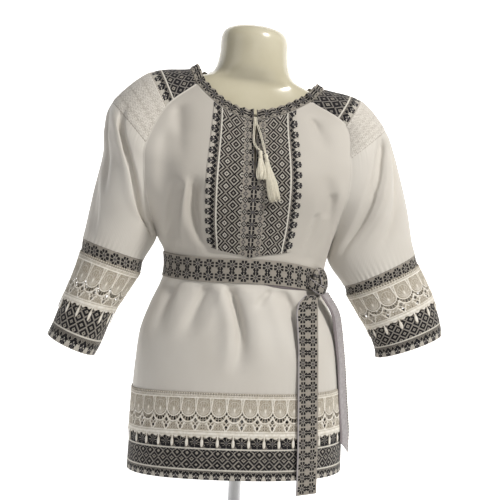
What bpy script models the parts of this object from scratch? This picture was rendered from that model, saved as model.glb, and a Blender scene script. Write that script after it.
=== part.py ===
# Vyshyvanka, a white embroidered crepe blouse with its own woven belt, worn by a limbless
# dress form on a round stand. +X is the viewer's right, the front faces -Y, +Z is up, and the
# origin is the centre of the base's underside. Sizes are in millimetres until a mesh is made.

import math
from collections import namedtuple

import bmesh
import bpy
from mathutils import Vector
from mathutils.geometry import delaunay_2d_cdt

MM = 0.001

# Cloth and seams
WALL = 1.2
SEAM_GAP = 0.4
LAP = 2.3
SLEEVE_LAP = 2.15
CUFF_TUCK = 0.7
ARMHOLE_EASE = 1.2
ARMPIT_EASE = 1.7

# Openings in the front
SLIT_END_ROW = 3.0
SLIT_TOP_WIDTH = 6.4
SLIT_LOW_WIDTH = 0.7

# Neck casing
CASING_HEIGHT = 18.0
CASING_CLEAR = 1.1
CASING_WAVES = 38
CASING_WAVE_DEPTH = 1.7
CASING_WALL = 1.6

# Belt
BELT_WALL = 1.6

# Lace repeat, measured down from its upper edge
LACE_WIDTH = 25.8
LACE_HEIGHT = 73.0
DROP_LENGTH = 13.0
DROP_HALF = 2.5
SLIVER_TOP, SLIVER_END, SLIVER_HALF = 26.5, 39.0, 2.4
DIAMOND_HALF = 3.4
DIAMOND_SIDE_X, DIAMOND_SIDE_Z, DIAMOND_LOW_Z = 4.6, 51.0, 55.9
HEM_REPEATS = 19
SLEEVE_REPEATS = 7
LACE_SPLIT = 0.004

# Cord and tassels
CORD = 2.4
CORD_SEAT = 1.1
TASSEL_COLUMNS, TASSEL_LAYERS = 4, 3
TASSEL_HEAD = 11.0
TASSEL_SHARE = 2.6
STRAND_GAP = 0.1

# Stand
BASE_RADIUS, BASE_HEIGHT = 110.0, 12.0
POLE_RADIUS = 11.0
FORM_FLOOR = 276.0
TOUCH = 0.3

# Rows down one sleeve. ridge is its outer line and seam its front raglan seam, and below the
# armpit, row 6, seam is the inner line. lift raises the back seam, turn is how far round the
# sleeve reaches from the ridge to the seam, and depth is half its size front to back.
SleeveRow = namedtuple("SleeveRow", "ridge_x ridge_z seam_x seam_z lift turn depth")
LEFT_SLEEVE = [
    SleeveRow(113, 808, 100, 778, 22, 90, 42),      # neck casing
    SleeveRow(181, 797, 150, 735, 17, 90, 58),      # outer edge of the inset
    SleeveRow(243, 742, 180, 672, 12, 95, 78),      # outer edge of the shoulder lace
    SleeveRow(255, 697, 182, 636, 8, 100, 80),
    SleeveRow(255, 655, 178, 597, 5, 115, 78),
    SleeveRow(267, 596, 166, 551, 2, 145, 71),
    SleeveRow(275, 552, 155, 516, 0, 180, 63),      # armpit
    SleeveRow(283, 507, 176, 474, 0, 180, 57),      # upper edge of the flower band
    SleeveRow(286, 485, 181, 452, 0, 180, 55),      # lower edge of the flower band
    SleeveRow(299, 441, 203, 414, 0, 180, 54),
    SleeveRow(314, 402, 223, 379, 0, 180, 53),      # lower edge of the lace
    SleeveRow(328, 362, 241, 330, 0, 180, 52),      # white line of the cuff
    SleeveRow(337, 341, 252, 306, 0, 180, 52),      # cuff edge
]
RIGHT_SLEEVE = [
    SleeveRow(124, 787, 95, 759, 22, 90, 42),
    SleeveRow(187, 771, 155, 720, 17, 90, 58),
    SleeveRow(234, 722, 162, 664, 12, 95, 77),
    SleeveRow(252, 682, 164, 626, 8, 100, 79),
    SleeveRow(268, 632, 160, 590, 5, 115, 76),
    SleeveRow(280, 592, 153, 548, 2, 145, 67),
    SleeveRow(290, 555, 143, 492, 0, 180, 57),
    SleeveRow(301, 506, 176, 444, 0, 180, 50),
    SleeveRow(308, 487, 182, 428, 0, 180, 49),
    SleeveRow(325, 456, 202, 397, 0, 180, 48),
    SleeveRow(341, 424, 222, 367, 0, 180, 47),
    SleeveRow(354, 386, 236, 336, 0, 180, 45),
    SleeveRow(358, 364, 239, 319, 0, 180, 44),
]
ARMPIT_ROW, BAND_TOP, BAND_END, LACE_END, CUFF_END = 6, 7, 8, 10, 12

# Side seams of the body, from the armpit down.
SideRow = namedtuple("SideRow", "left_x left_z right_x right_z")
SIDES = [
    SideRow(-155, 516, 143, 492),                   # armpit
    SideRow(-143, 491, 139, 467),                   # upper edge of the belt
    SideRow(-143, 449, 139, 427),                   # lower edge of the belt
    SideRow(-163, 400, 157, 388),
    SideRow(-178, 355, 169, 350),
    SideRow(-184, 302, 174, 304),
    SideRow(-187, 253, 178, 265),                   # upper edge of the hem lace
    SideRow(-189, 182, 184, 194),                   # lower edge of the hem lace
    SideRow(-191, 113, 186, 119),                   # hem
]

# Middle of the front and back, row by row. turn is the angle that the row bends through to its
# seam, and bib is half the width of the bib, which the columns follow.
PanelRow = namedtuple("PanelRow", "front_z front_y back_z back_y turn bib")
PANEL = [
    PanelRow(720, -78, 806, 68, 72, 70),            # neck casing
    PanelRow(688, -94, 764, 82, 64, 73),
    PanelRow(650, -108, 704, 93, 58, 77),
    PanelRow(622, -114, 660, 98, 58, 79),
    PanelRow(588, -114, 612, 98, 64, 79),
    PanelRow(543, -107, 556, 93, 78, 76),
    PanelRow(508, -100, 508, 88, 90, 70),           # armpit
    PanelRow(488, -96, 484, 85, 90, 69),            # upper edge of the belt
    PanelRow(447, -94, 442, 85, 90, 70),            # lower edge of the belt
    PanelRow(399, -103, 396, 95, 90, 74),
    PanelRow(347, -112, 348, 107, 90, 78),
    PanelRow(302, -116, 302, 113, 90, 80),
    PanelRow(265, -118, 262, 116, 90, 82),          # upper edge of the hem lace
    PanelRow(195, -120, 192, 118, 90, 83),          # lower edge of the hem lace
    PanelRow(124, -122, 122, 120, 90, 84),          # hem
]
BIB_MIDDLE = -2.0
BIB_COLUMN = 0.4
BELT_TOP, BELT_END, HEM_LACE_TOP, HEM_LACE_END, HEM_ROW = 7, 8, 12, 13, 14

# Rows that the body's pieces and the sleeves' share along the raglan seams, then those below.
INSET_ROWS = [0, 0.5, 1]
SHOULDER_LACE_ROWS = [1, 1.5, 2]
ARMHOLE_ROWS = [2, 2.6, 3.3, 4, 4.7, 5.4, 6]
SKIRT_ROWS = [7, 8, 8.4, 9, 9.6, 10.3, 11, 12]
BIB_TOP_ROW, BIB_CORNER_ROW, BIB_TIP_ROW = 0.03, 6.0, 6.92

# Creases of the body: a line down the cloth from top through middle to low, its half width and
# its height, which is negative in a trough. lip is the ridge beside a trough, on its +X side
# where positive.
Crease = namedtuple("Crease", "top_x top_z mid_x low_x low_z width height lip")
FRONT_CREASES = [
    Crease(-34, 448, -10, -16, 300, 12, -8.0, -0.5),
    Crease(-8, 440, 18, 20, 290, 22, 4.5, 0),
    Crease(-64, 446, -84, -104, 350, 13, -6.0, 0.4),
    Crease(-122, 446, -140, -153, 345, 14, -6.0, 0.4),
    Crease(56, 432, 80, 92, 318, 14, -5.5, -0.4),
    Crease(34, 436, 22, 14, 405, 7, -3.0, 0),
    Crease(-128, 610, -134, -137, 492, 8, -7.0, 0.5),
    Crease(-100, 610, -92, -66, 494, 13, -7.0, -0.4),
    Crease(-126, 740, -120, -116, 655, 16, -4.5, 0),
    Crease(-152, 715, -150, -146, 610, 12, -5.0, 0),
    Crease(98, 730, 108, 118, 670, 15, -4.0, 0),
    Crease(124, 620, 118, 96, 482, 13, -6.0, 0.4),
    Crease(138, 600, 134, 128, 478, 9, -4.0, 0),
]
BACK_CREASES = [
    Crease(-70, 446, -84, -96, 310, 14, -6.0, 0.4),
    Crease(-20, 444, -12, -22, 300, 15, -6.5, -0.4),
    Crease(36, 440, 50, 58, 312, 14, -6.0, 0.4),
    Crease(92, 436, 104, 116, 320, 13, -5.5, 0),
    Crease(-96, 590, -90, -72, 492, 12, -5.5, 0.4),
    Crease(-30, 600, -26, -20, 492, 13, -5.0, 0),
    Crease(40, 600, 44, 40, 488, 13, -5.5, -0.4),
    Crease(104, 590, 98, 84, 482, 12, -5.5, 0),
]
BUST_X, BUST_Z, BUST_SPREAD, BUST_RISE = 82.0, 612.0, 46.0, 7.0

# Creases of a sleeve: side is the angle from the ridge, negative at the front, at three rows.
SleeveCrease = namedtuple("SleeveCrease", "top_row top_side mid_side low_row low_side width height")
LEFT_SLEEVE_CREASES = [
    SleeveCrease(1.9, -48, -84, 6.2, -150, 9, -9.0),
    SleeveCrease(1.9, -33, -62, 5.6, -112, 12, 5.0),
    SleeveCrease(2.1, -14, -30, 5.2, -52, 10, -4.5),
    SleeveCrease(2.1, 22, 34, 5.6, 60, 11, -5.5),
    SleeveCrease(2.0, 52, 80, 6.2, 140, 10, -7.0),
    SleeveCrease(4.6, -20, -32, 6.9, -44, 12, -3.5),
]
RIGHT_SLEEVE_CREASES = [
    SleeveCrease(1.9, -46, -84, 6.2, -146, 10, -8.0),
    SleeveCrease(1.9, -30, -58, 6.0, -104, 12, 5.0),
    SleeveCrease(2.0, -20, -42, 6.4, -84, 10, -7.0),
    SleeveCrease(2.1, 20, 36, 5.6, 62, 11, -5.5),
    SleeveCrease(2.0, 50, 82, 6.2, 138, 10, -7.0),
    SleeveCrease(4.4, 6, 0, 6.9, -8, 12, -3.5),
]

# Sections of the form, bottom to top: middle, half sizes, squareness and lean of each.
FormRow = namedtuple("FormRow", "z middle_x middle_y half_x half_y square lean")
FORM = [
    FormRow(276, -3, 0, 150, 96, 2.2, 0),
    FormRow(340, -3, 0, 146, 92, 2.2, 0),
    FormRow(400, -3, 0, 130, 80, 2.2, 0),
    FormRow(460, -3, 0, 116, 70, 2.1, 0),
    FormRow(520, -3, -4, 122, 78, 2.1, -1),
    FormRow(580, -3, -6, 138, 92, 2.2, -2),
    FormRow(630, -3, -5, 150, 92, 2.3, -3),
    FormRow(680, -3, -2, 158, 80, 2.4, -4),
    FormRow(722, -3, 2, 163, 68, 2.5, -5),
    FormRow(752, -3, 4, 158, 56, 2.4, -5),
    FormRow(775, -3, 5, 140, 47, 2.1, -5),
    FormRow(788, -3, 5, 108, 45, 2.0, -4.5),
    FormRow(799, -3, 4, 76, 50, 2.0, -3.5),
    FormRow(814, -3, 3.0, 64, 56, 2.0, -3),
    FormRow(838, -3, 0, 59, 55, 2.0, -3),
    FormRow(862, -3, -1, 58, 55, 2.0, -3),
    FormRow(876, -3, -1, 53, 50, 2.0, -3),
    FormRow(884, -3, -1, 40, 37, 2.0, -3),
    FormRow(888, -3, -1, 18, 16, 2.0, -3),
]
FORM_SIDES = 24

# Drawcord routes, from between the casing's ends to just above the tassels' heads: x, height
# off the bib and z. Each ends in its tassel.
CORD_SHORT = [(-3.5, -1.2, 723.5), (-3.5, 1.6, 717.5), (-3.6, 2.5, 710), (-4.6, 2.5, 696),
              (-5.0, 2.5, 686), (-3.6, 3.0, 676), (1.0, 4.4, 668.5)]
CORD_LONG = [(-0.5, -1.2, 723.5), (-0.5, 1.6, 717.5), (0.3, 2.7, 710), (3.6, 2.8, 701),
             (7.2, 3.2, 689), (10.6, 4.6, 675), (12.9, 6.2, 665)]

# Tassels: head, lower end, both as x, height off the bib and z, then width and thickness.
Tassel = namedtuple("Tassel", "name head_x head_off head_z end_x end_off end_z width thick")
TASSELS = [
    Tassel("tassel_short", 5.9, 5.2, 664, 10.4, 5.6, 618, 16.0, 8.0),
    Tassel("tassel_long", 14.4, 7.2, 658, 32.5, 10.6, 585, 19.0, 9.0),
]

# The belt's knot
KNOT_X, KNOT_Z, KNOT_WIDTH, KNOT_HEIGHT, KNOT_THICK = 115.0, 454.0, 40.0, 44.0, 13.0
KNOT_OFF = 11.0
KNOT_LEAN = 14.0
KNOT_FOOT = KNOT_Z - KNOT_HEIGHT / 2 - 3.6

# The belt's free ends. The front one hangs in front of the skirt, and the back one hangs edge on
# at the side, with its near and far edges given row by row.
FrontTailRow = namedtuple("FrontTailRow", "z middle off width")
FRONT_TAIL = [
    FrontTailRow(KNOT_FOOT, 104, 10.2, 24),
    FrontTailRow(417, 99, 9.0, 33),
    FrontTailRow(402, 99, 7.4, 36),
    FrontTailRow(340, 102, 6.2, 36),
    FrontTailRow(260, 105, 6.0, 36),
    FrontTailRow(180, 108, 6.0, 36),
    FrontTailRow(97, 110, 5.6, 36),
]
HANG_FROM_Z = 180.0
BackTailRow = namedtuple("BackTailRow", "z near_x near_y far_x far_y")
BACK_TAIL = [
    BackTailRow(434.9, 123.2, -67.1, 141, -51),
    BackTailRow(400, 146, -62, 166, -30),
    BackTailRow(365, 155, -52, 176, -19),
    BackTailRow(310, 165, -46, 185, -12),
    BackTailRow(250, 171, -44, 192, -9),
    BackTailRow(188, 177, -43, 199, -8),
]
BACK_TAIL_TIP_Z = 148.0

# Colours, as linear red, green and blue
WHITE_CLOTH = (0.62, 0.59, 0.55)
ORNAMENT = (0.20, 0.19, 0.19)
LACE_WHITE = (0.70, 0.68, 0.65)
CORD_WHITE = (0.60, 0.56, 0.47)
FORM_CREAM = (0.52, 0.47, 0.35)
STAND_METAL = (0.55, 0.55, 0.56)


def spline(values, at):
    """Value at a fractional row of a list, by a Catmull-Rom curve through its values."""
    last = len(values) - 1
    row = min(max(int(math.floor(at)), 0), last - 1)
    t = at - row
    before = values[row - 1] if row > 0 else 2 * values[0] - values[1]
    after = values[row + 2] if row + 2 <= last else 2 * values[last] - values[last - 1]
    start, end = values[row], values[row + 1]
    curve = (2 * before - 5 * start + 4 * end - after) * t * t
    curve += (3 * start - 3 * end + after - before) * t * t * t
    return 0.5 * (2 * start + (end - before) * t + curve)


def column(table, name):
    """One named column of a table."""
    return [getattr(row, name) for row in table]


def smooth(low, high, value):
    """Rises softly from 0 at low to 1 at high."""
    t = min(max((value - low) / (high - low), 0.0), 1.0)
    return t * t * (3 - 2 * t)


def bell(distance, width):
    return math.exp(-(distance / width) ** 2)


def sleeve_value(table, name, row):
    return spline(column(table, name), row)


def sleeve_ease(row):
    """How far the sleeve's seam stands off the body's."""
    return ARMHOLE_EASE + ARMPIT_EASE * min(row / ARMPIT_ROW, 1.0) ** 2


def sleeve_crease(creases, row, side, radius):
    """Height of a sleeve's creases at one row and angle."""
    total = 0.0
    for crease in creases:
        length = crease.low_row - crease.top_row
        t = (row - crease.top_row) / length
        if not -0.05 < t < 1.05:
            continue
        middle = (1 - t) * (1 - 2 * t) * crease.top_side + 4 * t * (1 - t) * crease.mid_side
        middle += t * (2 * t - 1) * crease.low_side
        fade = smooth(-0.05, 0.14, t) * (1 - smooth(0.72, 1.05, t))
        total += crease.height * fade * bell(math.radians(side - middle) * radius, crease.width)
    return total


def sleeve_point(which, row, share, off=0.0):
    """Point of a sleeve at a row. share runs from -1 at the front seam, over the ridge at 0, to
    1 at the back seam, and off moves the point out of the cloth."""
    table, creases, mirror = SLEEVES[which]
    above = row < ARMPIT_ROW
    turn = min(spline(TURNS[which], row), 180.0) if above else 180.0
    side = share * turn
    angle = math.radians(side)
    reach = math.radians(turn)
    ridge = Vector((sleeve_value(table, "ridge_x", row), 0, sleeve_value(table, "ridge_z", row)))
    lift = sleeve_value(table, "lift", row) * smooth(0, 1, share) if above else 0.0
    seam_x = sleeve_value(table, "seam_x", row) + sleeve_ease(row)
    seam = Vector((seam_x, 0, sleeve_value(table, "seam_z", row) + lift))
    half = (ridge - seam).length / (1 - math.cos(reach))
    out = (ridge - seam).normalized()
    middle = ridge - out * half
    depth = sleeve_value(table, "depth", row)
    normal = out * (math.cos(angle) * depth) + Vector((0, math.sin(angle) * half, 0))
    normal.normalize()
    rise = sleeve_crease(creases, row, side, 0.5 * (half + depth))
    if above:
        rise *= 1 - smooth(0.86, 1.0, abs(share))
    point = middle + out * (half * math.cos(angle)) + Vector((0, depth * math.sin(angle), 0))
    point += normal * (rise + off)
    return Vector((point.x * mirror, point.y, point.z))


def body_creases(creases, x, z):
    """Height of the body's creases at one place seen from the front."""
    total = 0.0
    for crease in creases:
        t = (crease.top_z - z) / (crease.top_z - crease.low_z)
        if not -0.12 < t < 1.12:
            continue
        middle = (1 - t) * (1 - 2 * t) * crease.top_x + 4 * t * (1 - t) * crease.mid_x
        middle += t * (2 * t - 1) * crease.low_x
        fade = smooth(-0.12, 0.1, t) * (1 - smooth(0.6, 1.12, t))
        across = x - middle
        shape = bell(across, crease.width)
        shape -= abs(crease.lip) * bell(across - math.copysign(1.9, crease.lip) * crease.width,
                                        crease.width)
        total += crease.height * fade * shape
    return total


def panel_edges(facing, row):
    """Left and right ends of a row of the front, facing -1, or the back, facing 1."""
    ends = []
    for which, key in ((0, "left"), (1, "right")):
        xs, ys, zs = EDGES[facing][key]
        ends.append(Vector((spline(xs, row), spline(ys, row), spline(zs, row))))
    return ends


def panel_angle(x, middle, half, turn):
    return math.asin(max(-1.0, min(1.0, (x - middle) / half * math.sin(turn))))


def panel_frame(facing, row):
    """The row's ends, middle height and depth, and the angles that its columns follow."""
    left, right = panel_edges(facing, row)
    key = "front" if facing < 0 else "back"
    middle_z = spline(column(PANEL, key + "_z"), row)
    middle_y = spline(column(PANEL, key + "_y"), row)
    turn = math.radians(min(spline(column(PANEL, "turn"), row), 90.0))
    bib = spline(column(PANEL, "bib"), row)
    middle, half = 0.5 * (left.x + right.x), 0.5 * (right.x - left.x)
    stops = [-turn]
    for x in (BIB_MIDDLE - bib, BIB_MIDDLE, BIB_MIDDLE + bib):
        stops.append(panel_angle(x, middle, half, turn))
    stops.append(turn)
    return left, right, middle_z, middle_y, turn, middle, half, stops


def bare_panel(facing, row, across):
    """Point of a panel's smooth surface, with across from -1 at its left seam to 1."""
    left, right, middle_z, middle_y, turn, middle, half, stops = panel_frame(facing, row)
    marks = [-1.0, -BIB_COLUMN, 0.0, BIB_COLUMN, 1.0]
    part = max(i for i in range(4) if i == 0 or across >= marks[i])
    t = (across - marks[part]) / (marks[part + 1] - marks[part])
    angle = stops[part] + (stops[part + 1] - stops[part]) * t
    x = middle + half * math.sin(angle) / math.sin(turn)
    share = (x - left.x) / (right.x - left.x)
    bend = (math.cos(angle) - math.cos(turn)) / (1 - math.cos(turn))
    edge_y = left.y + (right.y - left.y) * share
    edge_z = left.z + (right.z - left.z) * share
    sag = 1 - abs(2 * share - 1) ** 1.9
    return Vector((x, edge_y + (middle_y - edge_y) * bend, edge_z + (middle_z - edge_z) * sag))


def creased_panel(facing, row, across):
    point = bare_panel(facing, row, across)
    creases = FRONT_CREASES if facing < 0 else BACK_CREASES
    rise = body_creases(creases, point.x, point.z)
    if facing < 0:
        bust = bell(abs(point.x) - BUST_X, BUST_SPREAD) * bell(point.z - BUST_Z, BUST_SPREAD)
        rise += BUST_RISE * bust
    rise *= 1 - smooth(0.8, 1.0, abs(across))
    rise *= smooth(0, 0.3, abs(row - 0.5 * (BELT_TOP + BELT_END)) - 0.5)
    point.y += facing * rise
    return point


def panel_point(facing, row, across, off=0.0):
    """Point of the front or back, moved out of the cloth by off."""
    point = creased_panel(facing, row, across)
    if off:
        step = 0.02
        inner = max(-1 + step, min(1 - step, across))
        along = creased_panel(facing, row, inner + step) - creased_panel(facing, row, inner - step)
        down = creased_panel(facing, row + step, across) - creased_panel(facing, row - step, across)
        normal = along.cross(down).normalized()
        if normal.y * facing < 0 and abs(across) < 0.97:
            normal.negate()
        elif normal.x * across < 0 and abs(across) >= 0.97:
            normal.negate()
        point += normal * off
    point.y += facing * SEAM_GAP / 2
    return point


def front_at(x, z, off):
    """Point of the front below a place seen from the front, moved out by off."""
    low, high = 0.0, float(HEM_ROW)
    for _ in range(24):
        row = 0.5 * (low + high)
        across = across_for(row, x)
        if bare_panel(-1, row, across).z > z:
            low = row
        else:
            high = row
    return panel_point(-1, row, across_for(row, x), off)


def across_for(row, x):
    """The column of the front that passes through an x at a row."""
    _, _, _, _, turn, middle, half, stops = panel_frame(-1, row)
    angle = panel_angle(x, middle, half, turn)
    marks = [-1.0, -BIB_COLUMN, 0.0, BIB_COLUMN, 1.0]
    part = max(i for i in range(4) if i == 0 or angle >= stops[i])
    share = (angle - stops[part]) / (stops[part + 1] - stops[part])
    return marks[part] + (marks[part + 1] - marks[part]) * share


def steps(start, end, count):
    return [start + (end - start) * i / count for i in range(count + 1)]


def even_columns(facing, row, count):
    """Columns of a row that lie the same length of cloth apart."""
    fine = steps(-1, 1, 120)
    places = [panel_point(facing, row, across) for across in fine]
    lengths = [0.0]
    for start, end in zip(places, places[1:]):
        lengths.append(lengths[-1] + (end - start).length)
    found, part = [], 0
    for at in steps(0, lengths[-1], count):
        while part < len(fine) - 2 and lengths[part + 1] < at:
            part += 1
        t = (at - lengths[part]) / (lengths[part + 1] - lengths[part])
        found.append(fine[part] + (fine[part + 1] - fine[part]) * min(t, 1.0))
    return found


SLEEVES = [(LEFT_SLEEVE, LEFT_SLEEVE_CREASES, -1), (RIGHT_SLEEVE, RIGHT_SLEEVE_CREASES, 1)]
TURNS = [column(table, "turn") for table, _, _ in SLEEVES]


def seam_edges():
    """Edge coordinates of the front and back: raglan seams, then side seams."""
    edges = {}
    for facing in (-1, 1):
        edges[facing] = {}
        for which, key in ((0, "left"), (1, "right")):
            table, _, mirror = SLEEVES[which]
            rows = table[:ARMPIT_ROW]
            xs = [mirror * row.seam_x for row in rows] + column(SIDES, key + "_x")
            ys = [facing * row.depth * math.sin(math.radians(row.turn)) for row in rows]
            ys += [0.0] * len(SIDES)
            raise_back = 1 if facing > 0 else 0
            zs = [row.seam_z + raise_back * row.lift for row in rows]
            zs += column(SIDES, key + "_z")
            edges[facing][key] = (xs, ys, zs)
    return edges


EDGES = seam_edges()


def clear_scene():
    for thing in list(bpy.data.objects):
        bpy.data.objects.remove(thing)


def make_material(name, colour, roughness, metallic=0.0):
    material = bpy.data.materials.new(name)
    material.use_nodes = True
    shader = material.node_tree.nodes["Principled BSDF"]
    shader.inputs["Base Color"].default_value = (*colour, 1.0)
    shader.inputs["Roughness"].default_value = roughness
    shader.inputs["Metallic"].default_value = metallic
    return material


def add_object(name, bm, collection, material, smooth_shading=True):
    mesh = bpy.data.meshes.new(name)
    bm.to_mesh(mesh)
    bm.free()
    mesh.materials.append(material)
    if smooth_shading:
        mesh.shade_smooth()
    thing = bpy.data.objects.new(name, mesh)
    collection.objects.link(thing)
    return thing


def thicken(thing, wall=WALL):
    """Gives a cloth surface its wall, half on each side."""
    solid = thing.modifiers.new("Wall", "SOLIDIFY")
    solid.thickness = wall * MM
    solid.offset = 0.0


def add_grid(bm, point, across, rows):
    """Adds a grid of quads whose corners are worked out by point(row, across)."""
    made = bmesh.ops.create_grid(bm, x_segments=len(across) - 1, y_segments=len(rows) - 1, size=0.5)
    for vert in made["verts"]:
        i = round((vert.co.x + 0.5) * (len(across) - 1))
        j = round((0.5 - vert.co.y) * (len(rows) - 1))
        vert.co = point(rows[j], across[i]) * MM
    return made["verts"]


def add_sheet(name, point, across, rows, collection, material, wall=WALL, joined=False):
    """A cloth piece: a mapped grid with a wall, its side edges merged where it is a tube."""
    bm = bmesh.new()
    verts = add_grid(bm, point, across, rows)
    if joined:
        bmesh.ops.remove_doubles(bm, verts=verts, dist=0.02 * MM)
    thing = add_object(name, bm, collection, material)
    thicken(thing, wall)
    return thing


def slit_width(row):
    """Half the width of the opening down the front."""
    share = max(0.0, 1 - row / SLIT_END_ROW)
    return 0.5 * (SLIT_LOW_WIDTH + (SLIT_TOP_WIDTH - SLIT_LOW_WIDTH) * share)


def add_slit_sheet(name, point, across, rows, collection, material):
    """A front piece in two halves, joined below the slit."""
    bm = bmesh.new()
    half = across.index(0.0)
    for side, columns in ((-1, across[: half + 1]), (1, across[half:])):

        def split_point(row, u, side=side):
            place = point(row, u)
            if u == 0.0 and row < SLIT_END_ROW - 1e-6:
                place.x += side * slit_width(row)
            return place

        add_grid(bm, split_point, columns, rows)
    bmesh.ops.remove_doubles(bm, verts=bm.verts[:], dist=0.02 * MM)
    bmesh.ops.recalc_face_normals(bm, faces=bm.faces[:])
    thing = add_object(name, bm, collection, material)
    thicken(thing)
    return thing


def lace_repeat():
    """One flat repeat of the lace: its points, as shares of its width and height, and its
    triangles, with the sliver and three diamonds left open."""
    width, height = LACE_WIDTH, LACE_HEIGHT
    tip = height + DROP_LENGTH
    outline = [(0, 0), (width / 2, 0), (width, 0), (width, tip), (width - DROP_HALF, height),
               (width / 2, height), (DROP_HALF, height), (0, tip)]
    middle = width / 2
    low, high = SLIVER_TOP, SLIVER_END
    holes = [[(middle, low), (middle + SLIVER_HALF, 0.5 * (low + high)), (middle, high),
              (middle - SLIVER_HALF, 0.5 * (low + high))]]
    for x, z in ((-DIAMOND_SIDE_X, DIAMOND_SIDE_Z), (DIAMOND_SIDE_X, DIAMOND_SIDE_Z),
                 (0.0, DIAMOND_LOW_Z)):
        x += middle
        holes.append([(x, z - DIAMOND_HALF), (x + DIAMOND_HALF, z), (x, z + DIAMOND_HALF),
                      (x - DIAMOND_HALF, z)])
    points, edges = [], []
    for ring in [outline] + holes:
        first = len(points)
        points += [Vector(place) for place in ring]
        edges += [(first + i, first + (i + 1) % len(ring)) for i in range(len(ring))]
    found = delaunay_2d_cdt(points, edges, [], 1, 1e-5)
    places, triangles = found[0], found[2]
    kept = []
    for triangle in triangles:
        centre = sum((places[i] for i in triangle), Vector((0, 0))) / len(triangle)
        if not any(inside(centre, ring) for ring in holes):
            kept.append(triangle)
    return [(p.x / width, p.y / height) for p in places], kept


def inside(place, ring):
    """Whether a flat point lies in a closed ring of points."""
    odd = False
    for (ax, ay), (bx, by) in zip(ring, ring[1:] + ring[:1]):
        if (ay > place.y) != (by > place.y):
            if place.x < ax + (place.y - ay) * (bx - ax) / (by - ay):
                odd = not odd
    return odd


def add_lace(name, point, repeats, collection, material):
    """A strip of lace: point(share, down) places each point, share across and down from 0 to 1
    at the lower edge, and past it on the drops."""
    places, triangles = lace_repeat()
    bm = bmesh.new()
    for repeat in range(repeats):
        verts = [bm.verts.new(point((repeat + x) / repeats, z) * MM) for x, z in places]
        for triangle in triangles:
            bm.faces.new([verts[i] for i in triangle])
    bmesh.ops.remove_doubles(bm, verts=bm.verts[:], dist=0.02 * MM)
    bmesh.ops.recalc_face_normals(bm, faces=bm.faces[:])
    thing = add_object(name, bm, collection, material)
    thicken(thing)
    return thing


def make_body(collection, cloth, ornament, lace):
    """Front, back, bib, hem lace and hem band."""
    front_columns = [i / 10 for i in range(-10, 11)]
    back_columns = [i / 7 for i in range(-7, 8)]
    seam_rows = INSET_ROWS[:-1] + SHOULDER_LACE_ROWS[:-1] + ARMHOLE_ROWS
    rows = seam_rows + SKIRT_ROWS

    def front(row, across):
        return panel_point(-1, row, across)

    def back(row, across):
        return panel_point(1, row, across)

    add_slit_sheet("front_panel", front, front_columns, rows, collection, cloth)
    add_sheet("back_panel", back, back_columns, rows, collection, cloth)

    bib_columns = [i / 10 for i in range(-4, 5)]
    bib_rows = [BIB_TOP_ROW] + seam_rows[1:]

    def bib(row, across):
        if row == BIB_CORNER_ROW:
            pointed = 1 - abs(across) / BIB_COLUMN
            row += (BIB_TIP_ROW - BIB_CORNER_ROW) * pointed ** 0.8
        return panel_point(-1, row, across, LAP)

    add_slit_sheet("bib", bib, bib_columns, bib_rows, collection, ornament)

    lap_share = 4.0 / LACE_HEIGHT
    for facing, key, columns in ((-1, "front", front_columns), (1, "back", back_columns)):
        even = even_columns(facing, 0.5 * (HEM_LACE_TOP + HEM_LACE_END), 4 * HEM_REPEATS)

        def hem_lace(share, down, facing=facing, even=even):
            row = HEM_LACE_TOP - lap_share + down * (1 + 2 * lap_share)
            at = share * (len(even) - 1)
            part = min(int(at), len(even) - 2)
            across = even[part] + (even[part + 1] - even[part]) * (at - part)
            return panel_point(facing, row, across, LAP)

        add_lace("hem_lace_" + key, hem_lace, HEM_REPEATS, collection, lace)
        band_rows = [HEM_LACE_END, 13.5, HEM_ROW]

        def band(row, across, facing=facing):
            return panel_point(facing, row, across)

        add_sheet("hem_band_" + key, band, columns, band_rows, collection, ornament)


def make_sleeve(which, key, collection, cloth, ornament, lace):
    """One sleeve: inset, shoulder lace, sleeve, flower band, lace and cuff."""
    gap = 0.004
    open_columns = steps(-1, 1, 10)
    round_columns = steps(-1, 1, 20)

    def place(row, share):
        return sleeve_point(which, row, share)

    inset_rows = INSET_ROWS[:-1] + [1 - gap]
    add_sheet("shoulder_inset_" + key, place, open_columns, inset_rows, collection, ornament)
    lace_rows = [1 + gap, SHOULDER_LACE_ROWS[1], 2 - gap]
    add_sheet("shoulder_lace_" + key, place, open_columns, lace_rows, collection, lace)
    sleeve_rows = [2 + gap] + ARMHOLE_ROWS[1:] + [6.5, BAND_TOP - gap]
    add_sheet("sleeve_" + key, place, round_columns, sleeve_rows, collection, cloth, joined=True)
    band_rows = [BAND_TOP + gap, BAND_END + 0.02]
    add_sheet("sleeve_band_" + key, place, round_columns, band_rows, collection, ornament,
              joined=True)
    cuff_rows = [LACE_END - 0.05, 10.2, 10.6, LACE_END + 1, CUFF_END]

    def cuff(row, share):
        return sleeve_point(which, row, share, -CUFF_TUCK if row < LACE_END else 0.0)

    add_sheet("cuff_" + key, cuff, round_columns, cuff_rows, collection, ornament, joined=True)

    for facing, side in ((-1, "front"), (1, "back")):

        def sleeve_lace(share, down, facing=facing):
            row = BAND_END - 0.06 + down * (LACE_END - BAND_END + 0.08)
            reach = LACE_SPLIT + share * (1 - 2 * LACE_SPLIT)
            return sleeve_point(which, row, facing * reach, SLEEVE_LAP)

        name = "sleeve_lace_" + key + "_" + side
        add_lace(name, sleeve_lace, SLEEVE_REPEATS, collection, lace)


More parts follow.
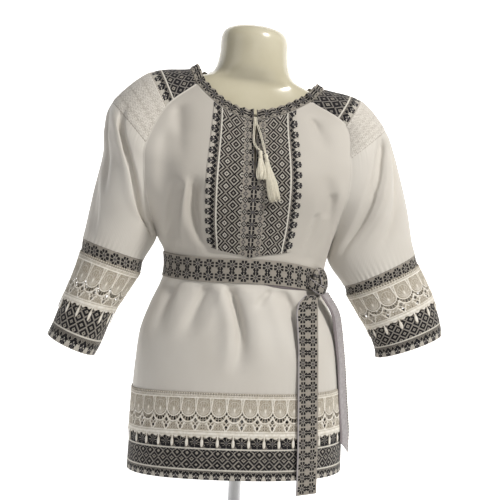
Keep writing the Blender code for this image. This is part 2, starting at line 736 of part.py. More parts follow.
def neck_edge():
    """Points of the body's and sleeves' upper edge, once round from the front middle."""
    points = [panel_point(-1, 0, u) for u in steps(0, 1, 24)]
    points += [sleeve_point(1, 0, share) for share in steps(-0.96, 0.96, 24)]
    points += [panel_point(1, 0, u) for u in steps(1, -1, 40)]
    points += [sleeve_point(0, 0, share) for share in steps(0.96, -0.96, 24)]
    points += [panel_point(-1, 0, u) for u in steps(-1, 0, 24)]
    return points


def even_points(points, count):
    """The same line as count + 1 evenly spaced points."""
    lengths = [0.0]
    for start, end in zip(points, points[1:]):
        lengths.append(lengths[-1] + (end - start).length)
    found, part = [], 0
    for at in steps(0, lengths[-1], count):
        while part < len(points) - 2 and lengths[part + 1] < at:
            part += 1
        t = (at - lengths[part]) / (lengths[part + 1] - lengths[part])
        found.append(points[part].lerp(points[part + 1], min(t, 1.0)))
    return found


def make_casing(collection, ornament):
    """The gathered neck casing, open at the front middle where the cord comes out."""
    per_wave = 3
    count = CASING_WAVES * per_wave
    edge = even_points(neck_edge(), count)

    def place(height, index):
        index = round(index)
        base = edge[index].copy()
        inward = Vector((-base.x, -base.y, 0)).normalized()
        side = min(abs(base.x) / 120, 1.0)
        lean = inward * (0.38 + 0.5 * side) + Vector((0, 0, 0.92 - 0.45 * side))
        lean.normalize()
        ahead = edge[min(index + 1, count)] - edge[max(index - 1, 0)]
        outward = lean.cross(ahead).normalized()
        if outward.dot(inward) > 0:
            outward.negate()
        wave = math.cos(2 * math.pi * index / per_wave + 0.5)
        amount = CASING_WAVE_DEPTH * (0.35 + 0.65 * smooth(0, 0.4, height))
        point = base + lean * (CASING_CLEAR + height * (CASING_HEIGHT - 3 * side))
        point += outward * (wave * amount)
        if index in (0, count):
            point.x = BIB_MIDDLE + (0.5 - index / count) * (SLIT_TOP_WIDTH - 2 * TOUCH)
        return point

    bm = bmesh.new()
    add_grid(bm, place, list(range(count + 1)), [1.0, 0.0])
    thing = add_object("neck_casing", bm, collection, ornament)
    thicken(thing, CASING_WALL)


def make_belt(collection, ornament):
    """The belt round the waist, its knot and its two free ends."""
    front = [i / 10 for i in range(-10, 11)]
    back = [i / 7 for i in range(7, -8, -1)]
    ring = [(-1, u) for u in front] + [(1, u) for u in back]

    def wrap(row, index):
        facing, across = ring[round(index)]
        point = panel_point(facing, row, across, LAP)
        if abs(across) == 1.0:
            point.y = 0.0
        return point

    bm = bmesh.new()
    verts = add_grid(bm, wrap, list(range(len(ring))), [BELT_TOP, BELT_END])
    bmesh.ops.remove_doubles(bm, verts=verts, dist=0.3 * MM)
    thing = add_object("belt_wrap", bm, collection, ornament)
    thicken(thing, BELT_WALL)

    make_knot(collection, ornament)

    def front_tail(row, share):
        place = FRONT_TAIL[round(row)]
        held_z = max(place.z, HANG_FROM_Z)
        point = front_at(place.middle + share * place.width, held_z, place.off)
        point.z += place.z - held_z
        return point

    rows = list(range(len(FRONT_TAIL)))
    add_sheet("belt_tail_front", front_tail, [-0.5, -0.25, 0, 0.25, 0.5], rows, collection,
              ornament, BELT_WALL)

    def back_tail(row, share):
        if row < len(BACK_TAIL):
            place = BACK_TAIL[round(row)]
            near = Vector((place.near_x, place.near_y, place.z))
            far = Vector((place.far_x, place.far_y, place.z))
            return near.lerp(far, share)
        last = BACK_TAIL[-1]
        x = last.near_x + (last.far_x - last.near_x) * share
        y = last.near_y + (last.far_y - last.near_y) * share
        return Vector((x, y, last.z + (BACK_TAIL_TIP_Z - last.z) * (0.35 + 0.65 * share)))

    rows = list(range(len(BACK_TAIL) + 1))
    add_sheet("belt_tail_back", back_tail, [0, 0.5, 1], rows, collection, ornament, BELT_WALL)


def make_knot(collection, ornament):
    """The tied knot: a soft squarish lump turned to follow the waist."""
    seat = front_at(KNOT_X, KNOT_Z, KNOT_OFF)
    flat = front_at(KNOT_X, KNOT_Z, 0)
    outward = (seat - flat).normalized()
    bm = bmesh.new()
    bmesh.ops.create_cube(bm, size=2.0)
    bmesh.ops.subdivide_edges(bm, edges=bm.edges[:], cuts=3, use_grid_fill=True)
    lean = math.radians(KNOT_LEAN)
    upward = Vector((math.sin(lean), 0, math.cos(lean)))
    sideways = upward.cross(outward).normalized()
    upward = outward.cross(sideways).normalized()
    for vert in bm.verts:
        x, y, z = vert.co
        reach = (abs(x) ** 4 + abs(y) ** 4 + abs(z) ** 4) ** 0.25
        round_x, round_y, round_z = x / reach, y / reach, z / reach
        waist = 1 - 0.22 * bell(z, 0.45) * abs(x)
        place = seat + sideways * (round_x * KNOT_WIDTH / 2 * waist)
        place += upward * (round_z * KNOT_HEIGHT / 2) - outward * (round_y * KNOT_THICK / 2)
        vert.co = place * MM
    bmesh.ops.recalc_face_normals(bm, faces=bm.faces[:])
    add_object("belt_knot", bm, collection, ornament)


def cord_place(x, off, z):
    """Point of the cords at a height off the bib, above the neckline too."""
    point = front_at(x, z, off + LAP)
    point.z += max(0.0, z - PANEL[0].front_z)
    return point


def tassel_line(tassel):
    """The upper and lower ends of a tassel's middle line."""
    head = cord_place(tassel.head_x, tassel.head_off, tassel.head_z)
    end = cord_place(tassel.end_x, tassel.end_off, tassel.end_z)
    return head, end


def make_cord(name, route, tassel, collection, material):
    """A tube along a smooth curve through the route's points, down to its tassel's head."""
    head, end = tassel_line(tassel)
    knots = [cord_place(*stop) for stop in route]
    knots.append(head - (end - head).normalized() * CORD_SEAT)
    axes = [[knot[i] for knot in knots] for i in range(3)]
    places = []
    for at in steps(0, len(knots) - 1, 2 * (len(knots) - 1)):
        places.append(Vector([spline(values, at) for values in axes]) * MM)
    curve = bpy.data.curves.new(name, "CURVE")
    curve.dimensions = "3D"
    curve.bevel_depth = CORD / 2 * MM
    curve.bevel_resolution = 2
    curve.use_fill_caps = True
    line = curve.splines.new("POLY")
    line.points.add(len(places) - 1)
    for stop, place in zip(line.points, places):
        stop.co = (*place, 1.0)
    curve.materials.append(material)
    collection.objects.link(bpy.data.objects.new(name, curve))


def grow_ring(bm, faces, size, rise, keep):
    """Grows a patch of faces by one ring, and returns the grown patch."""
    grown = bmesh.ops.extrude_face_region(bm, geom=faces, use_keep_orig=keep)
    if not keep:
        bmesh.ops.delete(bm, geom=faces, context="FACES")
    patch = [item for item in grown["geom"] if isinstance(item, bmesh.types.BMFace)]
    for vert in {vert for face in patch for vert in face.verts}:
        vert.co.z += rise
        vert.co.x *= size
        vert.co.y *= size
    return patch


def make_tassel(tassel, collection, material):
    """A tassel: a head whose underside runs out into separate four-sided strands."""
    head, end = tassel_line(tassel)
    down = (end - head).normalized()
    out = Vector((0.0, -1.0, 0.0))
    out = (out - down * out.dot(down)).normalized()
    side = down.cross(out).normalized()
    reach = (end - head).length - TASSEL_HEAD
    bm = bmesh.new()
    made = bmesh.ops.create_grid(bm, x_segments=TASSEL_COLUMNS, y_segments=TASSEL_LAYERS, size=1.0)
    for vert in made["verts"]:
        square = max(abs(vert.co.x), abs(vert.co.y))
        spread = math.hypot(vert.co.x, vert.co.y)
        vert.co *= square / spread if spread else 1.0
    under = list(bm.faces)
    bmesh.ops.reverse_faces(bm, faces=under)
    patch = grow_ring(bm, under, 1.0, 0.35, True)
    patch = grow_ring(bm, patch, 0.8, 0.5, False)
    grow_ring(bm, patch, 0.45, 0.15, False)
    bmesh.ops.recalc_face_normals(bm, faces=bm.faces[:])
    under = [face for face in bm.faces if all(vert.co.z < 0.01 for vert in face.verts)]
    bmesh.ops.inset_individual(bm, faces=under, thickness=STRAND_GAP, use_even_offset=True)
    strands = bmesh.ops.extrude_discrete_faces(bm, faces=under)["faces"]
    for number, face in enumerate(strands):
        uneven = 1 - 0.07 * ((number * 5) % 4) / 3
        centre = face.calc_center_median()
        for vert in face.verts:
            vert.co.z = -uneven
            vert.co.x = centre.x * 1.25 + (vert.co.x - centre.x) * 1.15
            vert.co.y = centre.y * 1.2 + (vert.co.y - centre.y) * 1.1
    for vert in bm.verts:
        x, y, z = vert.co
        along = TASSEL_HEAD * (1 - z) if z >= 0 else TASSEL_HEAD - z * reach
        narrow = 0.62 + 0.38 * smooth(TASSEL_HEAD, TASSEL_HEAD + 0.5 * reach, along)
        place = head + down * along + side * (x * tassel.width / TASSEL_SHARE * narrow)
        place += out * (y * tassel.thick / TASSEL_SHARE * narrow)
        vert.co = place * MM
    bmesh.ops.recalc_face_normals(bm, faces=bm.faces[:])
    add_object(tassel.name, bm, collection, material)


def make_form(collection, plastic, metal):
    """The limbless form on its pole and base."""
    bm = bmesh.new()
    bmesh.ops.create_cone(bm, cap_ends=True, cap_tris=False, segments=FORM_SIDES,
                          radius1=1.0, radius2=1.0, depth=1.0)
    uprights = [edge for edge in bm.edges if abs(edge.verts[0].co.z - edge.verts[1].co.z) > 0.5]
    bmesh.ops.subdivide_edges(bm, edges=uprights, cuts=len(FORM) - 2)
    for vert in bm.verts:
        row = FORM[round((vert.co.z + 0.5) * (len(FORM) - 1))]
        angle = math.atan2(vert.co.y, vert.co.x)
        power = 2.0 / row.square
        x = math.copysign(abs(math.cos(angle)) ** power, math.cos(angle)) * row.half_x
        y = math.copysign(abs(math.sin(angle)) ** power, math.sin(angle)) * row.half_y
        lean = math.tan(math.radians(row.lean))
        vert.co = Vector((row.middle_x + x, row.middle_y + y, row.z + x * lean)) * MM
    add_object("form_torso", bm, collection, plastic)

    for name, radius, low, high in (
            ("stand_base", BASE_RADIUS, 0.0, BASE_HEIGHT),
            ("stand_pole", POLE_RADIUS, BASE_HEIGHT + TOUCH, FORM_FLOOR - TOUCH)):
        bm = bmesh.new()
        sides = 48 if radius > 50 else 20
        bmesh.ops.create_cone(bm, cap_ends=True, cap_tris=False, segments=sides,
                              radius1=radius * MM, radius2=radius * MM, depth=(high - low) * MM)
        bmesh.ops.translate(bm, verts=bm.verts[:], vec=(0, 0, 0.5 * (low + high) * MM))
        thing = add_object(name, bm, collection, metal)
        thing.data.set_sharp_from_angle(angle=math.radians(35))


def main():
    clear_scene()
    collection = bpy.data.collections.new("vyshyvanka")
    bpy.context.scene.collection.children.link(collection)
    cloth = make_material("white crepe", WHITE_CLOTH, 0.7)
    ornament = make_material("woven ornament", ORNAMENT, 0.85)
    lace = make_material("white guipure lace", LACE_WHITE, 0.9)
    cord = make_material("cream cotton cord", CORD_WHITE, 0.85)
    plastic = make_material("cream gloss plastic", FORM_CREAM, 0.22)
    metal = make_material("brushed steel", STAND_METAL, 0.35, 1.0)

    make_body(collection, cloth, ornament, lace)
    for which, key in ((0, "left"), (1, "right")):
        make_sleeve(which, key, collection, cloth, ornament, lace)
    make_casing(collection, ornament)
    make_belt(collection, ornament)
    make_cord("drawcord_short", CORD_SHORT, TASSELS[0], collection, cord)
    make_cord("drawcord_long", CORD_LONG, TASSELS[1], collection, cord)
    for tassel in TASSELS:
        make_tassel(tassel, collection, cord)
    make_form(collection, plastic, metal)


main()
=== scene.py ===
# Vyshyvanka: a white crepe blouse with woven ornament, guipure lace and its own belt, worn by a
# limbless dress form. The front faces -Y, +X is the viewer's right, lengths in the tables are mm.

import math

import bmesh
import bpy
import numpy as np
from mathutils import Matrix, Vector


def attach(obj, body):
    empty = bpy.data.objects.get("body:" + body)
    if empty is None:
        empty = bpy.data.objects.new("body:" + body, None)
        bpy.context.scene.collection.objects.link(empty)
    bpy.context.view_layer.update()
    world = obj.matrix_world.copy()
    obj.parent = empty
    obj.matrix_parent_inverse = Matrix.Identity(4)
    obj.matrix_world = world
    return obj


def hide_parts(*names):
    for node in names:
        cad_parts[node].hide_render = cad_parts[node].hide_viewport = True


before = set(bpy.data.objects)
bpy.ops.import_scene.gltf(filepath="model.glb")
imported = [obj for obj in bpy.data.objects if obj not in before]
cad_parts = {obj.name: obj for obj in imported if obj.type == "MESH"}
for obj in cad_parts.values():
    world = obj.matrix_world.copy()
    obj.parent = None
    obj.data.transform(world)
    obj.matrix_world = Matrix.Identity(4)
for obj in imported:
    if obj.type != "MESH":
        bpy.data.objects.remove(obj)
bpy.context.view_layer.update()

mm = 0.001
stitch = 1.25  # one stitch, in mm, drawn coarser than the real one so that it shows


# camera, first

cameraSettings = {
    "pixels": 500,
    "focalPixels": 939.0,
    "eyeHeight": 0.556,
    "distance": 1.65,
    "azimuth": -5.0,
    "roll": 2.8,
    "horizonRow": 218.0,
    "axisColumn": 246.0,
}


def addCamera(s):
    a, roll, middle = math.radians(s["azimuth"]), math.radians(s["roll"]), s["pixels"] / 2
    pitch = -math.atan((middle - s["horizonRow"]) / s["focalPixels"])
    turn = math.atan((middle - s["axisColumn"]) / s["focalPixels"])
    ahead = Vector((-math.sin(a), math.cos(a), 0))
    right = Vector((math.cos(a), math.sin(a), 0))
    up = Vector((0, 0, 1))
    flatAhead = ahead * math.cos(turn) + right * math.sin(turn)
    flatRight = right * math.cos(turn) - ahead * math.sin(turn)
    look = flatAhead * math.cos(pitch) + up * math.sin(pitch)
    lift = up * math.cos(pitch) - flatAhead * math.sin(pitch)
    side = flatRight * math.cos(roll) + lift * math.sin(roll)
    top = lift * math.cos(roll) - flatRight * math.sin(roll)
    place = Vector((s["distance"] * math.sin(a), -s["distance"] * math.cos(a), s["eyeHeight"]))
    data = bpy.data.cameras.new("photo camera")
    data.lens = data.sensor_width * s["focalPixels"] / s["pixels"]
    camera = bpy.data.objects.new("photo camera", data)
    bpy.context.scene.collection.objects.link(camera)
    axes = [[side[i], top[i], -look[i], place[i]] for i in range(3)]
    camera.matrix_world = Matrix(axes + [[0, 0, 0, 1]])
    bpy.context.scene.camera = camera


addCamera(cameraSettings)
print("camera set")


# the worn shape, the same one that the CAD solids have

# outer line and front raglan seam of a sleeve, row by row from the neck, then how far the back
# seam is raised, how far round the row reaches and half its depth
ridgeX, ridgeZ, seamX, seamZ, lift, turn, depth = range(7)
sleeveRows = {
    "left": [
        (113, 808, 100, 778, 22, 90, 42), (181, 797, 150, 735, 17, 90, 58),
        (243, 742, 180, 672, 12, 95, 78),
        (255, 697, 182, 636, 8, 100, 80), (255, 655, 178, 597, 5, 115, 78),
        (267, 596, 166, 551, 2, 145, 71),
        (275, 552, 155, 516, 0, 180, 63), (283, 507, 176, 474, 0, 180, 57),
        (286, 485, 181, 452, 0, 180, 55),
        (299, 441, 203, 414, 0, 180, 54), (314, 402, 223, 379, 0, 180, 53),
        (328, 362, 241, 330, 0, 180, 52),
        (337, 341, 252, 306, 0, 180, 52)],
    "right": [
        (124, 787, 95, 759, 22, 90, 42), (187, 771, 155, 720, 17, 90, 58), (234, 722, 162, 664, 12, 95, 77),
        (252, 682, 164, 626, 8, 100, 79), (268, 632, 160, 590, 5, 115, 76),
        (280, 592, 153, 548, 2, 145, 67),
        (290, 555, 143, 492, 0, 180, 57), (301, 506, 176, 444, 0, 180, 50),
        (308, 487, 182, 428, 0, 180, 49),
        (325, 456, 202, 397, 0, 180, 48), (341, 424, 222, 367, 0, 180, 47),
        (354, 386, 236, 336, 0, 180, 45),
        (358, 364, 239, 319, 0, 180, 44)],
}
armpitRow, bandTop, bandEnd, laceEnd, cuffEnd = 6, 7, 8, 10, 12

# side seams from the armpit down: left x, left z, right x, right z
sideRows = [
    (-155, 516, 143, 492), (-143, 491, 139, 467), (-143, 449, 139, 427), (-163, 400, 157, 388),
    (-178, 355, 169, 350),
    (-184, 302, 174, 304), (-187, 253, 178, 265), (-189, 182, 184, 194), (-191, 113, 186, 119)]

# middle of the front and back: front z, front y, back z, back y, bend to the seam, half the bib
panelRows = [
    (720, -78, 806, 68, 72, 70), (688, -94, 764, 82, 64, 73), (650, -108, 704, 93, 58, 77),
    (622, -114, 660, 98, 58, 79),
    (588, -114, 612, 98, 64, 79), (543, -107, 556, 93, 78, 76), (508, -100, 508, 88, 90, 70),
    (488, -96, 484, 85, 90, 69),
    (447, -94, 442, 85, 90, 70), (399, -103, 396, 95, 90, 74), (347, -112, 348, 107, 90, 78),
    (302, -116, 302, 113, 90, 80),
    (265, -118, 262, 116, 90, 82), (195, -120, 192, 118, 90, 83), (124, -122, 122, 120, 90, 84)]
beltTop, beltLow, hemLaceTop, hemLaceEnd, hemRow = 7, 8, 12, 13, 14
bibMiddle, bibColumn = -2.0, 0.4

# creases of the body: top x, top z, middle x, low x, low z, half width, height, lip
frontCreases = [
    (-34, 448, -10, -16, 300, 12, -10.0, -0.5), (-8, 440, 18, 20, 290, 22, 6.0, 0),
    (-64, 446, -84, -104, 350, 13, -7.5, 0.4),
    (-122, 446, -140, -153, 345, 14, -7.0, 0.4), (56, 432, 80, 92, 318, 14, -7.0, -0.4),
    (34, 436, 22, 14, 405, 7, -4.0, 0),
    (-128, 610, -134, -137, 492, 8, -9.5, 0.5), (-100, 612, -92, -66, 494, 13, -10.0, -0.4),
    (-130, 740, -126, -122, 630, 18, -6.0, 0), (-150, 690, -148, -144, 560, 16, -6.0, 0.4),
    (98, 730, 108, 118, 670, 15, -4.0, 0), (124, 620, 118, 96, 482, 13, -6.0, 0.4),
    (138, 600, 134, 128, 478, 9, -4.0, 0)]
backCreases = [
    (-70, 446, -84, -96, 310, 14, -6.0, 0.4), (-20, 444, -12, -22, 300, 15, -6.5, -0.4),
    (36, 440, 50, 58, 312, 14, -6.0, 0.4),
    (92, 436, 104, 116, 320, 13, -5.5, 0), (-96, 590, -90, -72, 492, 12, -5.5, 0.4),
    (-30, 600, -26, -20, 492, 13, -5.0, 0),
    (40, 600, 44, 40, 488, 13, -5.5, -0.4), (104, 590, 98, 84, 482, 12, -5.5, 0)]

# creases of a sleeve: top row, angle there, angle half way, low row, angle there, width, height
sleeveCreases = {
    "left": [
        (1.9, -50, -98, 6.2, -156, 7, -10.0), (1.9, -33, -74, 5.6, -124, 14, 3.0),
        (2.1, -14, -30, 5.2, -52, 10, -7.0),
        (2.1, 22, 34, 5.6, 60, 11, -5.5), (2.0, 52, 80, 6.2, 140, 10, -7.0),
        (4.6, -20, -32, 6.9, -44, 12, -3.5)],
    "right": [
        (1.9, -46, -84, 6.2, -146, 10, -8.0), (1.9, -30, -58, 6.0, -104, 12, 5.0),
        (2.0, -20, -42, 6.4, -84, 10, -7.0),
        (2.1, 20, 36, 5.6, 62, 11, -5.5), (2.0, 50, 82, 6.2, 138, 10, -7.0),
        (4.4, 6, 0, 6.9, -8, 12, -3.5)],
}
bust = {"x": 82.0, "z": 612.0, "spread": 46.0, "rise": 7.0}


def splineAt(values, at):  # Catmull-Rom through a list
    last = len(values) - 1
    i = min(max(int(math.floor(at)), 0), last - 1)
    t = at - i
    before = values[i - 1] if i > 0 else 2 * values[0] - values[1]
    after = values[i + 2] if i + 2 <= last else 2 * values[last] - values[last - 1]
    a, b = values[i], values[i + 1]
    curve = (2 * before - 5 * a + 4 * b - after) * t * t + (3 * a - 3 * b + after - before) * t ** 3
    return 0.5 * (2 * a + (b - before) * t + curve)


def column(table, index):
    return [row[index] for row in table]


def smooth(low, high, value):
    t = min(max((value - low) / (high - low), 0.0), 1.0)
    return t * t * (3 - 2 * t)


def bell(distance, width):
    return math.exp(-(distance / width) ** 2)


def bent(t, a, b, c):  # a curve through three values
    return (1 - t) * (1 - 2 * t) * a + 4 * t * (1 - t) * b + t * (2 * t - 1) * c


def sleeveRise(side, row, angle, radius):
    total = 0.0
    for topRow, topSide, midSide, lowRow, lowSide, width, height in sleeveCreases[side]:
        t = (row - topRow) / (lowRow - topRow)
        if -0.05 < t < 1.05:
            fade = smooth(-0.05, 0.14, t) * (1 - smooth(0.72, 1.05, t))
            apart = math.radians(angle - bent(t, topSide, midSide, lowSide)) * radius
            total += height * fade * bell(apart, width)
    return total


def sleevePoint(side, row, share):  # share runs from the front seam, -1, over the ridge to the back seam
    table = sleeveRows[side]
    value = lambda index: splineAt(column(table, index), row)
    above = row < armpitRow
    reach = min(value(turn), 180.0) if above else 180.0
    angle = math.radians(share * reach)
    ridge = Vector((value(ridgeX), 0, value(ridgeZ)))
    raised = value(lift) * smooth(0, 1, share) if above else 0.0
    ease = 1.2 + 1.7 * min(row / armpitRow, 1.0) ** 2
    seam = Vector((value(seamX) + ease, 0, value(seamZ) + raised))
    half = (ridge - seam).length / (1 - math.cos(math.radians(reach)))
    out = (ridge - seam).normalized()
    normal = (out * (math.cos(angle) * value(depth)) + Vector((0, math.sin(angle) * half, 0))).normalized()
    rise = sleeveRise(side, row, share * reach, 0.5 * (half + value(depth)))
    if above:
        rise *= 1 - smooth(0.86, 1.0, abs(share))
    point = ridge - out * half + out * (half * math.cos(angle))
    point += Vector((0, value(depth) * math.sin(angle), 0))
    point += normal * rise
    return Vector((point.x * (-1 if side == "left" else 1), point.y, point.z))


lipReach = 1.9  # how far beside a crease its lip lies, in widths of the crease


def bodyRise(creases, x, z):
    total = 0.0
    for topX, topZ, midX, lowX, lowZ, width, height, lip in creases:
        t = (topZ - z) / (topZ - lowZ)
        if -0.12 < t < 1.12:
            fade = smooth(-0.12, 0.1, t) * (1 - smooth(0.6, 1.12, t))
            across = x - bent(t, topX, midX, lowX)
            beside = across - math.copysign(lipReach, lip) * width
            shape = bell(across, width) - abs(lip) * bell(beside, width)
            total += height * fade * shape
    return total


def seamLines():  # ends of every row of the front, -1, and the back, 1
    lines = {}
    for facing in (-1, 1):
        for side, mirror, x, z in (("left", -1, 0, 1), ("right", 1, 2, 3)):
            rows = sleeveRows[side][:armpitRow]
            xs = [mirror * r[seamX] for r in rows] + column(sideRows, x)
            ys = [facing * r[depth] * math.sin(math.radians(r[turn])) for r in rows] + [0.0] * len(sideRows)
            zs = [r[seamZ] + (r[lift] if facing > 0 else 0) for r in rows] + column(sideRows, z)
            lines[facing, side] = (xs, ys, zs)
    return lines


seams = seamLines()
columnMarks = [-1.0, -bibColumn, 0.0, bibColumn, 1.0]


def rowFrame(facing, row):
    left, right = (Vector([splineAt(values, row) for values in seams[facing, side]])
                   for side in ("left", "right"))
    first = 0 if facing < 0 else 2
    middleZ, middleY = (splineAt(column(panelRows, first + i), row) for i in (0, 1))
    reach = math.radians(min(splineAt(column(panelRows, 4), row), 90.0))
    bib = splineAt(column(panelRows, 5), row)
    middle, half = 0.5 * (left.x + right.x), 0.5 * (right.x - left.x)
    inner = [angleAt(bibMiddle + i * bib, middle, half, reach) for i in (-1, 0, 1)]
    return left, right, middleZ, middleY, reach, middle, half, [-reach] + inner + [reach]


def angleAt(x, middle, half, reach):
    return math.asin(max(-1.0, min(1.0, (x - middle) / half * math.sin(reach))))


def barePanel(facing, row, across):
    left, right, middleZ, middleY, reach, middle, half, stops = rowFrame(facing, row)
    part = max(i for i in range(4) if i == 0 or across >= columnMarks[i])
    t = (across - columnMarks[part]) / (columnMarks[part + 1] - columnMarks[part])
    angle = stops[part] + (stops[part + 1] - stops[part]) * t
    x = middle + half * math.sin(angle) / math.sin(reach)
    share = (x - left.x) / (right.x - left.x)
    bend = (math.cos(angle) - math.cos(reach)) / (1 - math.cos(reach))
    edge = left.lerp(right, share)
    sag = 1 - abs(2 * share - 1) ** 1.9
    return Vector((x, edge.y + (middleY - edge.y) * bend, edge.z + (middleZ - edge.z) * sag))


def panelPoint(facing, row, across):
    point = barePanel(facing, row, across)
    rise = bodyRise(frontCreases if facing < 0 else backCreases, point.x, point.z)
    if facing < 0:
        side, high = abs(point.x) - bust["x"], point.z - bust["z"]
        rise += bust["rise"] * bell(side, bust["spread"]) * bell(high, bust["spread"])
    rise *= 1 - smooth(0.8, 1.0, abs(across))
    rise *= smooth(0, 0.3, abs(row - 0.5 * (beltTop + beltLow)) - 0.5)
    point.y += facing * (rise + 0.2)
    return point


def acrossAt(row, x):
    _, _, _, _, reach, middle, half, stops = rowFrame(-1, row)
    angle = angleAt(x, middle, half, reach)
    part = max(i for i in range(4) if i == 0 or angle >= stops[i])
    share = (angle - stops[part]) / (stops[part + 1] - stops[part])
    return columnMarks[part] + (columnMarks[part + 1] - columnMarks[part]) * share


def frontAt(x, z, off):  # the front under a place seen from the front, off mm out of the cloth
    low, high = 0.0, float(hemRow)
    for _ in range(24):
        row = 0.5 * (low + high)
        if barePanel(-1, row, acrossAt(row, x)).z > z:
            low = row
        else:
            high = row
    u, step = acrossAt(row, x), 0.02
    along = panelPoint(-1, row, u + step) - panelPoint(-1, row, u - step)
    down = panelPoint(-1, row + step, u) - panelPoint(-1, row - step, u)
    normal = down.cross(along).normalized()
    return panelPoint(-1, row, u) + normal * off


# nets: a piece's surface worked out at a few thousand places and read smoothly between them

netCells = {"panel": (99, 73), "sleeve": (97, 61)}


def makeNet(place, rows, columns, counts, outward):
    rowStops, columnStops = np.linspace(*rows, counts[0]), np.linspace(*columns, counts[1])
    points = np.array([[place(r, c) for c in columnStops] for r in rowStops])
    for axis in (0, 1):  # one more line past each edge, so that the net can be read up to it
        first, second = points.take([0], axis), points.take([1], axis)
        last, before = points.take([-1], axis), points.take([-2], axis)
        points = np.concatenate([2 * first - second, points, 2 * last - before], axis=axis)
    normals = np.cross(np.gradient(points, axis=1), np.gradient(points, axis=0)) * outward
    normals /= np.linalg.norm(normals, axis=2, keepdims=True) + 1e-12
    return {"points": points, "normals": normals, "rows": rows, "columns": columns, "counts": counts}


def readNet(net, rows, columns):  # points and normals, in mm, at arrays of rows and columns
    found = []
    at = []
    for values, key, side in ((rows, "rows", 0), (columns, "columns", 1)):
        ends, count = net[key], net["counts"][side]
        place = (np.asarray(values, float) - ends[0]) / (ends[1] - ends[0]) * (count - 1)
        first = np.clip(np.floor(place).astype(int), 0, count - 2)
        t = place - first
        weights = [(-t + 2 * t ** 2 - t ** 3) / 2, (2 - 5 * t ** 2 + 3 * t ** 3) / 2,
                   (t + 4 * t ** 2 - 3 * t ** 3) / 2, (-t ** 2 + t ** 3) / 2]
        at.append((first, weights))
    (i, rowWeights), (j, columnWeights) = at
    for grid in (net["points"], net["normals"]):
        total = 0
        for a in range(4):
            for b in range(4):
                total = total + (rowWeights[a] * columnWeights[b])[..., None] * grid[i + a, j + b]
        found.append(total)
    found[1] /= np.linalg.norm(found[1], axis=-1, keepdims=True) + 1e-12
    return found


def panelNet(facing):
    return makeNet(lambda r, c: panelPoint(facing, r, c), (0, hemRow), (-1, 1), netCells["panel"], facing)


def sleeveNet(side):
    outward = 1 if side == "left" else -1
    return makeNet(lambda r, c: sleevePoint(side, r, c), (0, cuffEnd), (-1, 1), netCells["sleeve"], outward)


nets = {"front": panelNet(-1), "back": panelNet(1), "left": sleeveNet("left"), "right": sleeveNet("right")}
print("worn surfaces worked out")


# finishes


def colour(code):  # sRGB hex to linear
    parts = [int(code[i:i + 2], 16) / 255 for i in (0, 2, 4)]
    return [p / 12.92 if p <= 0.04045 else ((p + 0.055) / 1.055) ** 2.4 for p in parts] + [1.0]


def addNode(tree, kind, links=(), **settings):
    node = tree.nodes.new(kind)
    for name, value in settings.items():
        setattr(node, name, value)
    for socket, value in dict(links).items():
        if isinstance(value, bpy.types.NodeSocket):
            tree.links.new(value, node.inputs[socket])
        else:
            node.inputs[socket].default_value = value
    return node


def newFinish(name, values):
    material = bpy.data.materials.new(name)
    material.use_nodes = True
    shader = material.node_tree.nodes["Principled BSDF"]
    for socket, value in values.items():
        shader.inputs[socket].default_value = value
    place = addNode(material.node_tree, "ShaderNodeTexCoord")
    return material, material.node_tree, shader, place


def bandScale(period):  # the wave texture repeats every pi / 10 units
    return math.pi / 10 / (period * mm)


def fillRamp(ramp, stops):
    while len(ramp.color_ramp.elements) < len(stops):
        ramp.color_ramp.elements.new(0.5)
    for element, (at, code) in zip(ramp.color_ramp.elements, stops):
        element.position = at
        element.color = colour(code)


def addCloud(tree, where, scale, detail, stops):  # a noise, and the tone it drifts through
    noise = addNode(tree, "ShaderNodeTexNoise", {"Vector": where, "Scale": scale, "Detail": detail})
    tone = addNode(tree, "ShaderNodeValToRGB", {"Fac": noise.outputs["Fac"]})
    fillRamp(tone, stops)
    return noise.outputs["Fac"], tone.outputs["Color"]


def addThreads(tree, place, period, way, uneven=0.0):
    wave = addNode(tree, "ShaderNodeTexWave", {
        "Vector": place.outputs["UV"], "Scale": bandScale(period), "Distortion": uneven},
        wave_type="BANDS", bands_direction=way)
    return wave.outputs["Fac"]


def addBump(tree, shader, height, strength, deep):  # deep in mm
    bump = addNode(tree, "ShaderNodeBump", {
        "Height": height, "Strength": strength, "Distance": deep * mm})
    tree.links.new(bump.outputs["Normal"], shader.inputs["Normal"])


# White polyester crepe, woven: matt and soft, with a faint silky sheen and a pebbly hand.
# paintedShadeTone is painted shade: the darker colour given to the cloth over the form, above the belt
crepe = {"light": "D3CFC8", "dark": "CBC6BE", "paintedShadeTone": "BDB8B0", "grain": 1.4, "bumpDepth": 0.25,
         "roughness": 0.62}


